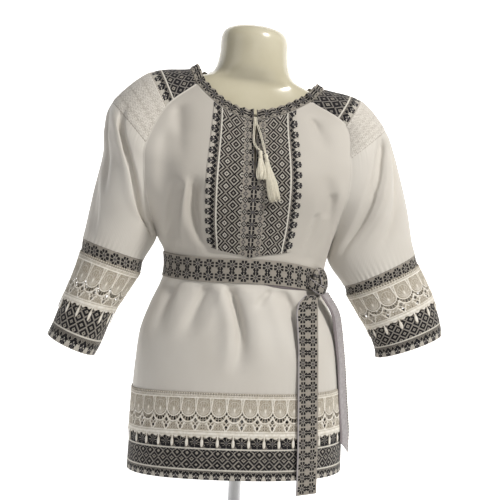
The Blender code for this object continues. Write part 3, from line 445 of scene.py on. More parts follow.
def makeCrepe(s):
    material, tree, shader, place = newFinish("white polyester crepe", {
        "Roughness": s["roughness"], "IOR": 1.5, "Sheen Weight": 0.25, "Sheen Roughness": 0.4,
        "Specular IOR Level": 0.35})
    _, tone = addCloud(tree, place.outputs["Object"], 9.0, 3.0, [(0.3, s["dark"]), (0.7, s["light"])])
    # painted shade: over the form the cloth's colour is darkened towards a shaded tone, matched to how dark
    # it looks there
    painted_shade = addNode(tree, "ShaderNodeAttribute", attribute_name="painted_shade")
    shown = addNode(tree, "ShaderNodeMix", {
        "Factor": painted_shade.outputs["Fac"], 6: tone, 7: colour(s["paintedShadeTone"])},
        data_type="RGBA")
    tree.links.new(shown.outputs[2], shader.inputs["Base Color"])
    # the crepe's pebble is 0.5 mm across on the real cloth, and is drawn coarser so that it shows
    pebble = addNode(tree, "ShaderNodeTexNoise", {
        "Vector": place.outputs["Object"], "Scale": 1000 / s["grain"], "Detail": 2.0, "Roughness": 0.6})
    twill = addThreads(tree, place, 2 * s["grain"], "DIAGONAL", 0.6)
    both = addNode(tree, "ShaderNodeMath", {0: pebble.outputs["Fac"], 1: twill}, operation="ADD")
    addBump(tree, shader, both.outputs[0], 0.22, s["bumpDepth"])
    return material


# Cotton ornament cloth, woven in black, grey and white yarn: matt, each stitch a small raised
# square. The thread attribute of a face says its yarn: 0 braid, 0.05 light, 0.25 ground, 0.6 grey,
# 1 black.
weave = {"braid": "D2CEC5", "light": "BDB8AF", "ground": "979188", "grey": "565354", "black": "161519",
         "roughness": 0.85}


def makeWeave(name, s):
    material, tree, shader, place = newFinish(name, {
        "Roughness": s["roughness"], "IOR": 1.5, "Sheen Weight": 0.12, "Sheen Roughness": 0.5,
        "Specular IOR Level": 0.25})
    yarn = addNode(tree, "ShaderNodeAttribute", attribute_name="thread")
    tone = addNode(tree, "ShaderNodeValToRGB", {"Fac": yarn.outputs["Fac"]})
    fillRamp(tone, [(0.0, s["braid"]), (0.03, s["light"]), (0.15, s["ground"]), (0.42, s["grey"]),
                    (0.8, s["black"])])
    tone.color_ramp.interpolation = "CONSTANT"
    worn = addNode(tree, "ShaderNodeTexNoise", {
        "Vector": place.outputs["Object"], "Scale": 260.0, "Detail": 2.0})
    level = addNode(tree, "ShaderNodeMapRange", {"Value": worn.outputs["Fac"], 3: 0.78, 4: 1.2})
    shade = addNode(tree, "ShaderNodeMix", {"Factor": 1.0, 6: tone.outputs["Color"]},
                    data_type="RGBA", blend_type="MULTIPLY")
    tree.links.new(level.outputs["Result"], shade.inputs[7])
    tree.links.new(shade.outputs[2], shader.inputs["Base Color"])
    # one thread each way to a stitch
    grid = addNode(tree, "ShaderNodeMath", {
        0: addThreads(tree, place, stitch, "X"), 1: addThreads(tree, place, stitch, "Y")},
                   operation="ADD")
    addBump(tree, shader, grid.outputs[0], 0.5, 0.25)
    return material


# White cotton guipure: embroidered cords with no ground net, matt, its threads wound round.
# deep is painted shade: the colour that the lace's low parts are darkened to, in both lace finishes
guipure = {"light": "EFEBE3", "dark": "E2DCD0", "deep": "AEA79C", "thread": 0.9, "roughness": 0.88}
# The shoulders' lace is of thinner yarn and lies close to the sleeve's colour.
softGuipure = {"light": "DEDAD3", "dark": "D2CDC6", "deep": "ABA59C", "thread": 0.9, "roughness": 0.88}


def makeGuipure(name, s):
    material, tree, shader, place = newFinish(name, {
        "Roughness": s["roughness"], "IOR": 1.5, "Sheen Weight": 0.15, "Specular IOR Level": 0.25})
    _, tone = addCloud(tree, place.outputs["Object"], 180.0, 2.0, [(0.35, s["dark"]), (0.6, s["light"])])
    # painted shade: the lower a place lies in the lace's relief, the more its colour is darkened towards
    # deep
    relief_shade = addNode(tree, "ShaderNodeAttribute", attribute_name="relief_shade")
    deep = addNode(tree, "ShaderNodeValToRGB", {"Fac": relief_shade.outputs["Fac"]})
    fillRamp(deep, [(0.15, s["deep"]), (0.8, "FFFFFF")])
    shade = addNode(tree, "ShaderNodeMix", {"Factor": 1.0, 6: tone, 7: deep.outputs["Color"]},
                    data_type="RGBA", blend_type="MULTIPLY")
    tree.links.new(shade.outputs[2], shader.inputs["Base Color"])
    addBump(tree, shader, addThreads(tree, place, 2 * s["thread"], "DIAGONAL", 2.0), 0.4, 0.3)
    return material


# Cream mercerised cotton cord and tassel: fine twisted strands with a soft lustre.
cotton = {"light": "E8E3D3", "dark": "CFC7B2", "thread": 0.7, "roughness": 0.6}


def makeCotton(s):
    material, tree, shader, place = newFinish("cream cotton cord", {
        "Roughness": s["roughness"], "IOR": 1.5, "Sheen Weight": 0.3, "Sheen Roughness": 0.4})
    scale = 1000 / s["thread"]
    along = addNode(tree, "ShaderNodeMapping", {
        "Vector": place.outputs["Object"], "Scale": (scale, scale, 0.08 * scale)})
    cloud, tone = addCloud(tree, along.outputs["Vector"], 1.0, 2.0, [(0.3, s["dark"]), (0.6, s["light"])])
    tree.links.new(tone, shader.inputs["Base Color"])
    addBump(tree, shader, cloud, 0.25, 0.2)
    return material


# Moulded ABS of the dress form, cream and polished: clear highlights, broken by handling.
plastic = {"light": "CDC7B1", "dark": "C3BCA4", "roughness": 0.15, "rubbed": 0.32}


def makePlastic(s):
    material, tree, shader, place = newFinish("polished cream ABS", {
        "IOR": 1.53, "Coat Weight": 0.35, "Coat Roughness": 0.06})
    cloud, tone = addCloud(tree, place.outputs["Object"], 14.0, 4.0, [(0.35, s["dark"]), (0.7, s["light"])])
    tree.links.new(tone, shader.inputs["Base Color"])
    rub = addNode(tree, "ShaderNodeMapRange", {
        "Value": cloud, 1: 0.3, 2: 0.8, 3: s["roughness"], 4: s["rubbed"]})
    tree.links.new(rub.outputs["Result"], shader.inputs["Roughness"])
    wave = addNode(tree, "ShaderNodeTexNoise", {
        "Vector": place.outputs["Object"], "Scale": 40.0, "Detail": 1.0})
    addBump(tree, shader, wave.outputs["Fac"], 0.05, 1.0)
    return material


# Brushed steel of the stand: fine turned lines that stretch the highlights.
steel = {"tone": "B9BABC", "line": 0.6, "roughness": 0.3}


def makeSteel(s):
    material, tree, shader, place = newFinish("brushed steel", {
        "Base Color": colour(s["tone"]), "Metallic": 1.0})
    stretch = addNode(tree, "ShaderNodeMapping", {
        "Vector": place.outputs["Object"], "Scale": (40, 40, 1000 / s["line"])})
    lines = addNode(tree, "ShaderNodeTexNoise", {
        "Vector": stretch.outputs["Vector"], "Scale": 1.0, "Detail": 2.0})
    rub = addNode(tree, "ShaderNodeMapRange", {
        "Value": lines.outputs["Fac"], 3: s["roughness"] - 0.08, 4: s["roughness"] + 0.12})
    tree.links.new(rub.outputs["Result"], shader.inputs["Roughness"])
    addBump(tree, shader, lines.outputs["Fac"], 0.15, 0.1)
    return material


# The wrong side of the belt: the same yarns float behind, so it looks lavender grey and faint.
beltBack = {"braid": "B5B1B2", "light": "AFABAC", "ground": "A8A3A5", "grey": "9D989A", "black": "80777A",
            "roughness": 0.9}

finishes = {
    "crepe": makeCrepe(crepe),
    "weave": makeWeave("woven cotton ornament", weave),
    "guipure": makeGuipure("white cotton guipure lace", guipure),
    "softGuipure": makeGuipure("white cotton guipure lace, soft", softGuipure),
    "cotton": makeCotton(cotton),
    "plastic": makePlastic(plastic),
    "steel": makeSteel(steel),
    "beltBack": makeWeave("woven cotton ornament, wrong side", beltBack),
}
print("finishes made")


# cloth pieces


def finishPiece(name, bm, finish, replaced=()):
    mesh = bpy.data.meshes.new(name)
    bm.to_mesh(mesh)
    bm.free()
    mesh.materials.append(finishes[finish])
    mesh.shade_smooth()
    piece = bpy.data.objects.new(name + "_worn", mesh)
    bpy.context.scene.collection.objects.link(piece)
    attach(piece, "root")
    if replaced:
        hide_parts(*replaced)
    return piece


def weaveCloth(name, place, counts, size, finish, replaced, thread=None, kept=None, closed=False,
               slit=None, turned=None):
    # place(down, along) gives the points of whole arrays of shares from 0 to 1; thread gives each
    # cell its yarn, kept says which cells stay, slit opens the middle down to that share, and turned
    # says which cells show the wrong side
    down, along = counts
    bm = bmesh.new()
    bmesh.ops.create_grid(bm, x_segments=along, y_segments=down, size=0.5)
    cells = np.array([f.calc_center_median()[:2] for f in bm.faces])
    i = np.floor((cells[:, 0] + 0.5) * along).astype(int)
    j = np.floor((0.5 - cells[:, 1]) * down).astype(int)
    uv = bm.loops.layers.uv.new("cloth")
    for face in bm.faces:
        for loop in face.loops:
            co = loop.vert.co
            loop[uv].uv = ((co.x + 0.5) * size[0] * mm, (0.5 - co.y) * size[1] * mm)
    if thread is not None:
        yarn = bm.faces.layers.float.new("thread")
        for face, value in zip(bm.faces, thread(i, j)):
            face[yarn] = value
    if turned is not None:
        for face, wrong in zip(bm.faces, turned(i, j)):
            face.material_index = int(wrong)
    if kept is not None:
        gone = [f for f, stays in zip(list(bm.faces), kept(i, j)) if not stays]
        bmesh.ops.delete(bm, geom=gone, context="FACES")
    if slit is not None:
        cut = [e for e in bm.edges
               if all(abs(v.co.x) < 0.4 / along and 0.5 - v.co.y < slit for v in e.verts)]
        bmesh.ops.split_edges(bm, edges=cut)
    bm.verts.ensure_lookup_table()
    co = np.array([v.co[:2] for v in bm.verts])
    side = np.array([sum(f.calc_center_median().x for f in v.link_faces) / len(v.link_faces)
                     for v in bm.verts])
    points = place(0.5 - co[:, 1], co[:, 0] + 0.5, side)
    for vert, point in zip(bm.verts, points):
        vert.co = point * mm
    if closed:
        bmesh.ops.remove_doubles(bm, verts=bm.verts[:], dist=0.02 * mm)
    return finishPiece(name, bm, finish, replaced)


def declare(piece, width, length, area=None):  # area as a share of width x length
    if area is not None:
        area *= width * length * mm * mm
    print(piece.name, "flat", round(width), "x", round(length), "mm")


# woven ornament, charted in whole stitches: a number in a chart is a count of stitches, and what
# the chart gives for each stitch is its yarn, as the thread attribute holds it

braidYarn, lightYarn, groundYarn, greyYarn, blackYarn = 0, 0.05, 0.25, 0.6, 1
yarnOf = {"l": lightYarn, "o": groundYarn, "g": greyYarn, "b": blackYarn}


def rings(code):  # the yarns of a diamond, stitch by stitch out from its middle
    return np.array([yarnOf[letter] for letter in code])


ringed, nested = rings("bbllbbboobb"), rings("oobbbolbbbb")
ringedDark, nestedDark = rings("boobbbboobb"), rings("bboobbbgobb")
ringedInset = rings("bogbbbbgobb")


def starTone(x, y, size=6, heart=3, core=2):  # eight-petal star, a common motif of such ornament
    a, b = np.maximum(abs(x), abs(y)), np.minimum(abs(x), abs(y))
    petal = (a >= core) & (a <= size) & (b >= 1) & (b <= a - 1) & (b <= size // 2) & (b >= a - size + 1)
    return np.where(petal, blackYarn, np.where(a + b < heart, greyYarn, groundYarn))


def latticeTone(x, y, stepX, stepY, ringed=ringed, nested=nested):
    # ringed diamonds where x is an even step, nested ones between
    reach = []
    for odd in (0, 1):
        i, j = (2 * np.round((v / step - odd) / 2) + odd for v, step in ((x, stepX), (y, stepY)))
        reach.append(abs(x - i * stepX) + abs(y - j * stepY))
    ring = [np.clip(np.floor(r + 0.5), 0, 10).astype(int) for r in reach]
    return np.where(reach[0] <= reach[1], ringed[ring[0]], nested[ring[1]])


def borderTone(x, y, pitch):  # half flowers at the outer edge, y 0, chevrons over them, a checker
    across = np.round((x + pitch / 2) % pitch - pitch / 2)
    side, y = abs(across), np.floor(y)
    petal = (y < 4) & ((side < 1) | ((side >= 2) & (side <= 3) & (y > 0)))
    tone = np.where(petal, blackYarn, np.where((side < 2) & (y < 7), greyYarn, lightYarn))
    checker = np.where((across + y) % 2 < 1, blackYarn, groundYarn)
    tone = np.where((y > 11.5 - side) & (y > 6), checker, tone)
    tone = np.where((abs(y - 9.5 + side) < 1.6) & (side < 5), blackYarn, tone)
    return np.where(abs(side - pitch / 2) + abs(y - 9.5) < 2.4, blackYarn, tone)


def bibTone(x, y):  # stars down the middle, small diamonds, a field of large ones, then the border
    ax = abs(x + 0.5)
    tone = latticeTone(ax - 16.5, y, 10, 8)
    small = abs(ax - 10.5) / 4.2 + abs((y + 8) % 16 - 8) / 4.6
    cross = abs(ax - 10.5) / 4 + abs(y % 16 - 8) / 4
    between = np.select([small < 0.28, small < 0.62, small < 1.0], [blackYarn, lightYarn, blackYarn],
                        groundYarn)
    between = np.where(cross < 0.9, np.where(cross < 0.4, groundYarn, greyYarn), between)
    tone = np.where(ax < 15, between, tone)
    tone = np.where(ax < 7, starTone(np.floor(ax), (y + 8) % 16 - 8, 7), tone)
    tone = np.where(ax >= 47, borderTone(y, 62.5 - ax, 13), tone)
    return np.where((ax >= 47) & (ax < 49), braidYarn, tone)


def hemTone(x, y, perLace):  # stars under the lace's repeats, then between two braids a dark field
    flower = ((x / perLace) % 1 - 0.5) * 20
    tone = starTone(np.round(flower), y - 7, 8)
    leaf = abs(abs(flower) + 0.5 * (y - 8) - 8) < 1.5
    checker = (y >= 12) & (tone < 1) & ((np.round(x) + y) % 2 < 1)
    tone = np.where((leaf & (y > 1)) | checker, blackYarn, tone)
    tone = np.where(y >= 18, latticeTone(y - 23.5, x, 8.5, perLace / 3, ringedDark, nestedDark), tone)
    tone = np.where(y >= 49, borderTone(x, 62 - y, perLace * 2 / 3), tone)
    return np.where((y == 16) | (y == 17) | (y == 47) | (y == 48), braidYarn, tone)


def cuffTone(x, y, pitch, deep):
    tone = latticeTone(y - 3, x, 8.5, pitch / 2, ringedDark, nestedDark)
    tone = np.where(y >= deep - 18, borderTone(x, 0.78 * (deep - y), pitch), tone)
    return np.where((y == deep - 20) | (y == deep - 19), braidYarn, tone)


def sleeveBandTone(x, y, pitch):
    across = np.round((x + pitch / 2) % pitch - pitch / 2)
    return starTone(across, np.round((y - 9) / 1.2), 6, 3, 3)


def insetTone(x, y, deep):
    tone = latticeTone(x, y - 8, 7, 8.5, ringedInset, nestedDark)
    tone = np.where(y >= deep - 14, borderTone(x, deep - 1 - y, 13), tone)
    return np.where((y == deep - 16) | (y == deep - 15), braidYarn, tone)


def casingTone(x, y):
    across = (x + 8) % 16 - 8
    tone = starTone(across, y - 7, 6)
    return np.where((abs(across) >= 7) & (abs(y - 7) < 6) & (y % 4 < 2), blackYarn, tone)


def beltTone(x, y):
    across = (x + 7) % 15 - 7
    tone = np.where(y < 16, starTone(across, y - 8, 6, 3, 3), starTone(across, y - 23, 6, 3, 3))
    join = np.hypot(across / 2.3, (y - 15.5) / 1.8)
    return np.where((join < 1.05) & (join > 0.4), blackYarn, tone)


print("ornament charted")


# guipure lace, drawn as cords on a plane: every stroke gives how far a place is inside its cord


def laceStrokes(x, z, s):  # x across the repeat with the oval at 0, z down from the heading, both mm
    ax, gap = abs(x), 0.5 * s["width"] - abs(x)
    cords = []

    def add(distance, halfWidth, height, where=True):
        cords.append((np.where(where, halfWidth - distance, -9.0), halfWidth, height))

    def line(x0, z0, x1, z1):
        wide, high = x1 - x0, z1 - z0
        t = np.clip(((ax - x0) * wide + (z - z0) * high) / (wide ** 2 + high ** 2), 0, 1)
        return np.hypot(ax - x0 - t * wide, z - z0 - t * high)

    def repeated(value, pitch):
        return abs((value + 0.5 * pitch) % pitch - 0.5 * pitch)

    # heading: loops, then close bars between two cords
    add(np.hypot(repeated(x, 4.3), z - 2.0), 1.75, 0.7)
    add(repeated(x, 4.3), 1.0, 0.8, (z > 2) & (z < 6))
    add(abs(z - 6.0), 0.85, 0.8)
    add(repeated(x, 2.15), 0.85, 0.7, (z > 6) & (z < 10))
    add(abs(z - 8.2), 1.6, 0.45)
    add(abs(z - 10.8), 1.35, 1.0)

    # oval medallion: ring that touches its neighbours at z 29, ribbed fan inside
    side = np.where(z < 29, 10.2 + 2.0 * np.cos((29 - z) / 18 * 1.57), 12.2)
    ring = np.where(z < 29, ax / side - 1, np.hypot(ax / 12.2, (z - 29) / 11.0) - 1) * 11.5
    add(abs(ring), 1.15, 1.0, (z > 10) & (z < 42))
    disc = np.hypot(x / 9.0, (z - 27) / 10.6)
    add(repeated(np.arctan2(x, 37 - z), 0.27) * np.hypot(x, 37 - z), 0.95, 0.5, disc < 1.05)
    add(np.maximum(disc - 0.95, 0) * 9, 0.9, 0.2)
    add(np.maximum(z - 24, 0), 0.9, 0.15, (ring < 0) & (z > 10))
    add(abs(disc - 1) * 9, 0.75, 0.6)
    add(abs(disc - 0.62) * 9, 0.7, 0.4)
    rays = repeated(np.arctan2(x, 27 - z), 0.28) * np.hypot(x, z - 27)
    add(rays, 0.95, 0.4, (ring < 0) & (disc > 1) & (z > 10))
    add(abs(disc - 1.28) * 9, 0.8, 0.4, (ring < 0) & (z < 24))
    add(np.hypot(x, (z - 30) * 0.55), 2.6, 0.9)

    # second ring under the first, with a row of small holes between
    second = (np.hypot(ax / 12.4, (z - 36) / 12.0) - 1) * 12
    add(abs(second), 1.25, 1.0, z > 37)
    rays = repeated(np.arctan2(x, z - 29), 0.31) * np.hypot(x, z - 29)
    add(rays, 0.75, 0.5, (ring > 0) & (second < 0) & (z > 36))

    # between the ovals: slivers, then a lattice of four diamonds
    add(gap, 1.2, 0.6, (z > 10) & (z < 17.5))
    add(gap, 1.0, 0.7, (z > 26.5) & (z < 31.5))
    add(line(12.9, 41.0, 4.0, 51.5), 0.95, 0.8)
    add(line(12.9, 50.6, 7.0, 44.6), 0.95, 0.8)
    add(line(12.9, 50.6, 7.4, 56.4), 0.95, 0.8)
    add(line(6.0, 49.5, 12.3, 60.5), 1.45, 0.95)
    net = (ax < 9.5) & (z > 46) & (z < 61) & (second > 0)
    add(repeated(x + z, 4.4) * 0.7, 0.7, 0.45, net)
    add(repeated(x - z, 4.4) * 0.7, 0.7, 0.45, net)
    add(repeated(x, 4.3), 0.6, 0.4, net)

    # foot: a close band, scallops and teardrop drops
    add(abs(z - 60.8), 1.2, 0.9)
    add(abs(z - 64.8), 3.6, 0.75 + 0.25 * abs(np.cos(x * 1.46)))
    add(abs(z - 68.4), 1.0, 0.8)
    scallop = repeated(x - 0.25 * s["width"], 0.5 * s["width"])
    add(np.hypot(scallop, (z - 68.5) * 1.3) - 3.2, 1.2, 0.7, z > 68)
    add(np.hypot(x / 2.9, (z - 79.0) / 7.0) * 2.9 - 1.8, 1.1, 1.0, z > 70)
    add(ax, 1.5, 0.9, (z > 66) & (z < 77))
    return cords


def shoulderStrokes(x, z, s):  # close rings in staggered rows, a cord and small scallops each side
    pitch, deep = s["width"], s["deep"]
    cords = []

    def add(distance, halfWidth, height, where=True):
        cords.append((np.where(where, halfWidth - distance, -9.0), halfWidth, height))

    count = max(1, round((deep - 7) / 7.6))
    tall = (deep - 7) / count
    row = np.clip(np.floor((z - 3.5) / tall), 0, count - 1)
    cx = (x + 0.5 * pitch * (1 + row % 2)) % pitch - 0.5 * pitch
    cz = (z - 3.5) - (row + 0.5) * tall
    middle = (z > 2.5) & (z < deep - 2.5)
    radius = np.hypot(cx, cz * pitch / tall * 0.95)
    add(abs(radius - 3.9), 1.15, 1.0, middle)
    add(radius, 1.9, 0.8, middle)
    turn = np.arctan2(cx, cz)
    spoke = abs((turn / 0.785 + 0.5) % 1 - 0.5) * 0.785 * radius
    add(spoke, 0.85, 0.6, middle & (radius < 4))
    add(np.hypot(0.5 * pitch - abs(cx), 0.5 * tall - abs(cz)), 1.7, 0.6, middle)
    for edge, way in ((0.0, 1), (deep, -1)):
        low = (z - edge) * way
        add(abs(low - 2.2), 1.4, 0.9)
        picot = (x + 2.4) % 4.8 - 2.4
        add(np.hypot(picot, low + 0.4), 1.9, 0.7, low < 2)
    return cords


def laceField(strokes, x, z, s):  # inside above 0, and the height of the cords
    field, height = np.full(x.shape, -9.0), np.zeros(x.shape)
    for inside, half, rise in strokes(x, z, s):
        field = np.maximum(field, inside)
        height = np.maximum(height, rise * np.sqrt(np.clip(inside / half, 0, 1)))
    return field, height


def makeLace(name, place, strokes, s, repeats, length, deepRange, finish="guipure", sunk=0.0):
    # place(down mm, along share) gives points and normals; sunk draws the low edge into the cloth
    down, perRepeat = s["cells"]
    along = perRepeat * repeats
    top, low = deepRange
    bm = bmesh.new()
    bmesh.ops.create_grid(bm, x_segments=along, y_segments=down, size=0.5)
    flat = np.array([v.co[:2] for v in bm.verts])
    share, z = flat[:, 0] + 0.5, top + (0.5 - flat[:, 1]) * (low - top)
    width = s["width"]
    stepX = width / perRepeat

    def sample(share, z):
        x = (share * repeats + 0.5) % 1 * width - 0.5 * width
        return laceField(strokes, x, z, s)

    field = sample(share, z)[0]
    inside = dict(zip(bm.verts, field))
    gone = [f for f in bm.faces
            if sum(inside[v] for v in f.verts) < -1.2 or max(inside[v] for v in f.verts) < 0]
    bmesh.ops.delete(bm, geom=gone, context="FACES")
    verts = list(bm.verts)
    flat = np.array([v.co[:2] for v in verts])
    share, z = flat[:, 0] + 0.5, top + (0.5 - flat[:, 1]) * (low - top)
    edge = np.array([v.is_boundary for v in verts])
    inner = (share > 1e-4) & (share < 1 - 1e-4)
    for _ in range(2):  # draws the ragged edge of the cells onto the cord's outline
        across = sample(share + 0.1 / width / repeats, z)[0] - sample(share - 0.1 / width / repeats, z)[0]
        upward = sample(share, z + 0.1)[0] - sample(share, z - 0.1)[0]
        field = sample(share, z)[0]
        slope = np.hypot(across, upward) / 0.2 + 1e-6
        step = np.clip(-field / slope, -0.55 * stepX, 0.55 * stepX) * edge
        share = share + inner * step * across / 0.2 / slope / width / repeats
        z = z + step * upward / 0.2 / slope
    height = sample(share, z)[1]
    points, normals = place(z, share)
    rise = (s["off"] + s["rise"] * height) * (1 - sunk * np.clip((z - low + 9) / 8, 0, 1))
    points = points + normals * rise[:, None]
    # painted shade of the lace's low parts, lightened by pale
    relief_shade = bm.verts.layers.float.new("relief_shade")
    for vert, point, high in zip(bm.verts, points, height):
        vert.co = point * mm
        vert[relief_shade] = s["pale"] + (1 - s["pale"]) * high
    uv = bm.loops.layers.uv.new("cloth")
    bm.verts.index_update()
    spots = np.stack([share * length * mm, z * mm], axis=1)
    for face in bm.faces:
        for loop in face.loops:
            loop[uv].uv = spots[loop.vert.index]
    return finishPiece(name, bm, finish, [name])


print("lace drawn")


# stops and places shared by the cloth pieces


def spacedStops(net, count, along, fixed, start, end):  # count lengths of cloth that are equally long
    fine = np.linspace(start, end, 300)
    still = np.full(300, float(fixed))
    points = readNet(net, still if along else fine, fine if along else still)[0]
    lengths = np.concatenate([[0], np.cumsum(np.linalg.norm(np.diff(points, axis=0), axis=1))])
    return np.interp(np.linspace(0, lengths[-1], count + 1), lengths, fine), lengths[-1]


def halvedStops(net, count, fixed, reach):  # the same, with the middle of the piece on a stop
    left, leftLength = spacedStops(net, count, True, fixed, -reach, 0.0)
    right, rightLength = spacedStops(net, count, True, fixed, 0.0, reach)
    return np.concatenate([left, right[1:]]), leftLength + rightLength


def onNet(net, rowStops, columnStops, offs=0.0, extra=None):
    rowShares, columnShares = np.linspace(0, 1, len(rowStops)), np.linspace(0, 1, len(columnStops))

    def place(down, along, side=None):
        rows, columns = np.interp(down, rowShares, rowStops), np.interp(along, columnShares, columnStops)
        points, normals = readNet(net, rows, columns)
        off = np.interp(down, rowShares, offs) if np.ndim(offs) else offs
        if extra is not None:
            off = off + extra(rows, columns, points)
        points = points + normals * np.reshape(off, (-1, 1))
        return points

    return place


def hemmed(rowStops, off, turned):  # adds the folded edge: the cloth turns under and runs back up
    step = rowStops[-1] - rowStops[-2]
    rows = list(rowStops) + [rowStops[-1] + 0.3 * step, rowStops[-1] - step, rowStops[-1] - turned * step]
    return rows, [off] * len(rowStops) + [off - 0.7, off - 1.3, off - 1.3]


def waves(value, seed, scales, size):  # fine uneven gathers
    local = np.random.default_rng(seed)
    total = 0.0
    for pitch in scales:
        total = total + np.sin(value / pitch * 2 * math.pi + local.uniform(0, 6.28)) / len(scales)
    return total * size


# crepe panels and sleeves

panelSettings = {
    "off": 0.55,
    "cells": (190, 118),      # down and across
    "lowRow": 12.06,          # the cloth runs a little under the lace
    "widthRow": 10.0,         # where its width is measured
    "gather": 0.7, "gatherPitches": (11.0, 17.0, 7.3),
    "pucker": 0.55, "puckerPitches": (5.3, 9.1),
}
slitSettings = {"lowRow": 3, "top": 6.4, "low": 0.7, "easedOver": 17}
# where the crepe's painted shade lies: its low edge and fade in height, and how it thins past the armholes
paintedShadeSettings = {"low": 452, "fade": 16, "armhole": 125, "reach": 50, "less": 0.6}

# narrow folds that ride on the main creases: top x, top z, middle x, low x, low z, half width, height
narrowFolds = {
    "front": [
        (-37, 447, -13, -15, 312, 5, -5.1), (-27, 447, -1, -2, 318, 8, 3.3),
        (-118, 447, -135, -148, 362, 6, -4.5),
        (-106, 447, -122, -136, 362, 8, 2.2), (-66, 446, -84, -98, 366, 6, -3.9),
        (-56, 446, -72, -86, 366, 8, 2.1),
        (42, 444, 30, 20, 416, 4.5, -3.9), (58, 442, 78, 90, 350, 6, -3.9), (70, 442, 92, 104, 350, 8, 2.1),
        (-118, 612, -125, -116, 492, 4, -7.5), (-95, 612, -92, -66, 490, 5, -6.5),
        (-84, 606, -74, -50, 490, 8, 2.7),
        (-130, 742, -126, -122, 640, 9, -2.5), (95, 728, 104, 109, 698, 6, -3),
        (134, 604, 132, 128, 560, 6, -3.6), (111, 570, 100, 84, 496, 6, -4.5),
        (120, 570, 110, 96, 496, 8, 2.7)],
    "back": [
        (-72, 446, -88, -98, 330, 6, -4.5), (-22, 446, -14, -20, 320, 6, -4.2),
        (36, 446, 48, 56, 330, 6, -4.5),
        (94, 446, 104, 114, 340, 6, -3.9), (-60, 600, -56, -44, 492, 6, -3.9), (6, 600, 4, 0, 490, 6, -3.6),
        (70, 600, 66, 58, 492, 6, -3.9)],
}


def narrowRise(folds, points):
    total = 0.0
    for topX, topZ, midX, lowX, lowZ, width, height in folds:
        t = (topZ - points[:, 2]) / (topZ - lowZ)
        inside = np.clip(t / 0.12, 0, 1) * np.clip((1 - t) / 0.6, 0, 1)
        total = total + height * inside * np.exp(-((points[:, 0] - bent(t, topX, midX, lowX)) / width) ** 2)
    return total


def slitShift(row, side, fromMiddle):  # how far the slit's edges are drawn aside
    s = slitSettings
    half = 0.5 * (s["low"] + (s["top"] - s["low"]) * np.maximum(0, 1 - row / s["lowRow"]))
    return np.sign(side) * half * np.clip(1 - fromMiddle / s["easedOver"], 0, 1) * (row < s["lowRow"])


# the mask of the crepe's painted shade
def markPaintedShade(piece, s):  # 1 over the form, 0 below the belt, less towards the armholes
    co = np.empty(3 * len(piece.data.vertices))
    piece.data.vertices.foreach_get("co", co)
    x, z = co[0::3] / mm, co[2::3] / mm
    above = np.clip((z - s["low"]) / s["fade"], 0, 1)
    inside = 1 - s["less"] * np.clip((abs(x) - s["armhole"]) / s["reach"], 0, 1)
    piece.data.attributes.new("painted_shade", "FLOAT", "POINT").data.foreach_set("value", above * inside)


def makePanel(name, key, s):
    net = nets[key]
    front = key == "front"
    cells = s["cells"]
    down, length = spacedStops(net, cells[0], False, 0.0, 0.0, s["lowRow"])
    across, width = halvedStops(net, cells[1] // 2, s["widthRow"], 1.0)
    beltRow = 0.5 * (beltTop + beltLow)

    def gathers(rows, columns, points):
        flat = points[:, 0]
        nearBelt = np.exp(-((rows - beltRow) / 1.1) ** 2)
        nearLace = np.exp(-np.clip(hemLaceTop - rows, 0, 9) / 0.28)
        edge = 1 - np.clip((abs(columns) - 0.93) / 0.07, 0, 1)
        fine = waves(flat + 5 * np.sin(rows * 1.3), 3, s["gatherPitches"], s["gather"]) * nearBelt
        held = np.clip(abs(rows - beltRow) / 0.5 - 1, 0, 1)
        if front:  # the cloth lies flat under the bib
            bib = np.interp(rows, range(len(panelRows)), column(panelRows, 5))
            beside = np.clip((abs(flat - bibMiddle) - bib) / 12, 0, 1)
            held = np.where(rows < beltTop, held * beside, held)
        puckers = waves(flat, 5, s["puckerPitches"], s["pucker"]) * nearLace
        return (fine * held + puckers + narrowRise(narrowFolds[key], points) * held) * edge

    place = onNet(net, down, across, s["off"], gathers)

    def opened(share, along, side):
        points = place(share, along)
        if front:
            row = np.interp(share, np.linspace(0, 1, len(down)), down)
            points[:, 0] += slitShift(row, side, np.abs(along - 0.5) * width)
        return points

    slit = slitSettings["lowRow"] / s["lowRow"] if front else None
    piece = weaveCloth(name, opened, cells, (width, length), "crepe", [name], slit=slit)
    markPaintedShade(piece, paintedShadeSettings)
    declare(piece, width, length)


makePanel("front_panel", "front", panelSettings)
makePanel("back_panel", "back", panelSettings)
print("crepe panels made")


sleeveSettings = {
    "off": 0.55,
    "cells": (130, 220),
    "rows": (2.004, 6.99),
    "widthRow": 6.0,
    "armRadius": 68.0,        # turns an angle round the arm into mm
    "topGather": 0.245, "topPitches": (8.1, 13.0),
    "lowGather": 0.7, "lowPitch": 9.0,
}

# narrow folds of the sleeves: top row, angle there, angle half way, low row, angle there, width, height
narrowPleats = {
    "left": [
        (1.95, -46, -93, 6.1, -151, 3.0, -7.5),
        (2.1, 26, 38, 5.4, 62, 4, -2.5), (4.9, -34, -42, 6.9, -52, 5, -1.6)],
    "right": [
        (1.95, -41, -79, 6.1, -140, 3.4, -4.0), (1.95, -33, -64, 5.8, -112, 5, 1.8),
        (2.0, -14, -34, 5.6, -76, 4, -3.0),
        (2.1, 24, 40, 5.4, 64, 4, -2.5), (4.7, -4, -12, 6.9, -20, 5, -1.6)],
}


def pleatRise(side, rows, columns):
    reach = np.where(rows < armpitRow, np.interp(rows, range(13), column(sleeveRows[side], turn)), 180.0)
    total = 0.0
    for topRow, topSide, midSide, lowRow, lowSide, width, height in narrowPleats[side]:
        t = (rows - topRow) / (lowRow - topRow)
        inside = np.clip(t / 0.1, 0, 1) * np.clip((1 - t) / 0.4, 0, 1)
        apart = np.radians(columns * reach - bent(t, topSide, midSide, lowSide))
        apart = apart * sleeveSettings["armRadius"]
        total = total + height * inside * np.exp(-(apart / width) ** 2)
    return total


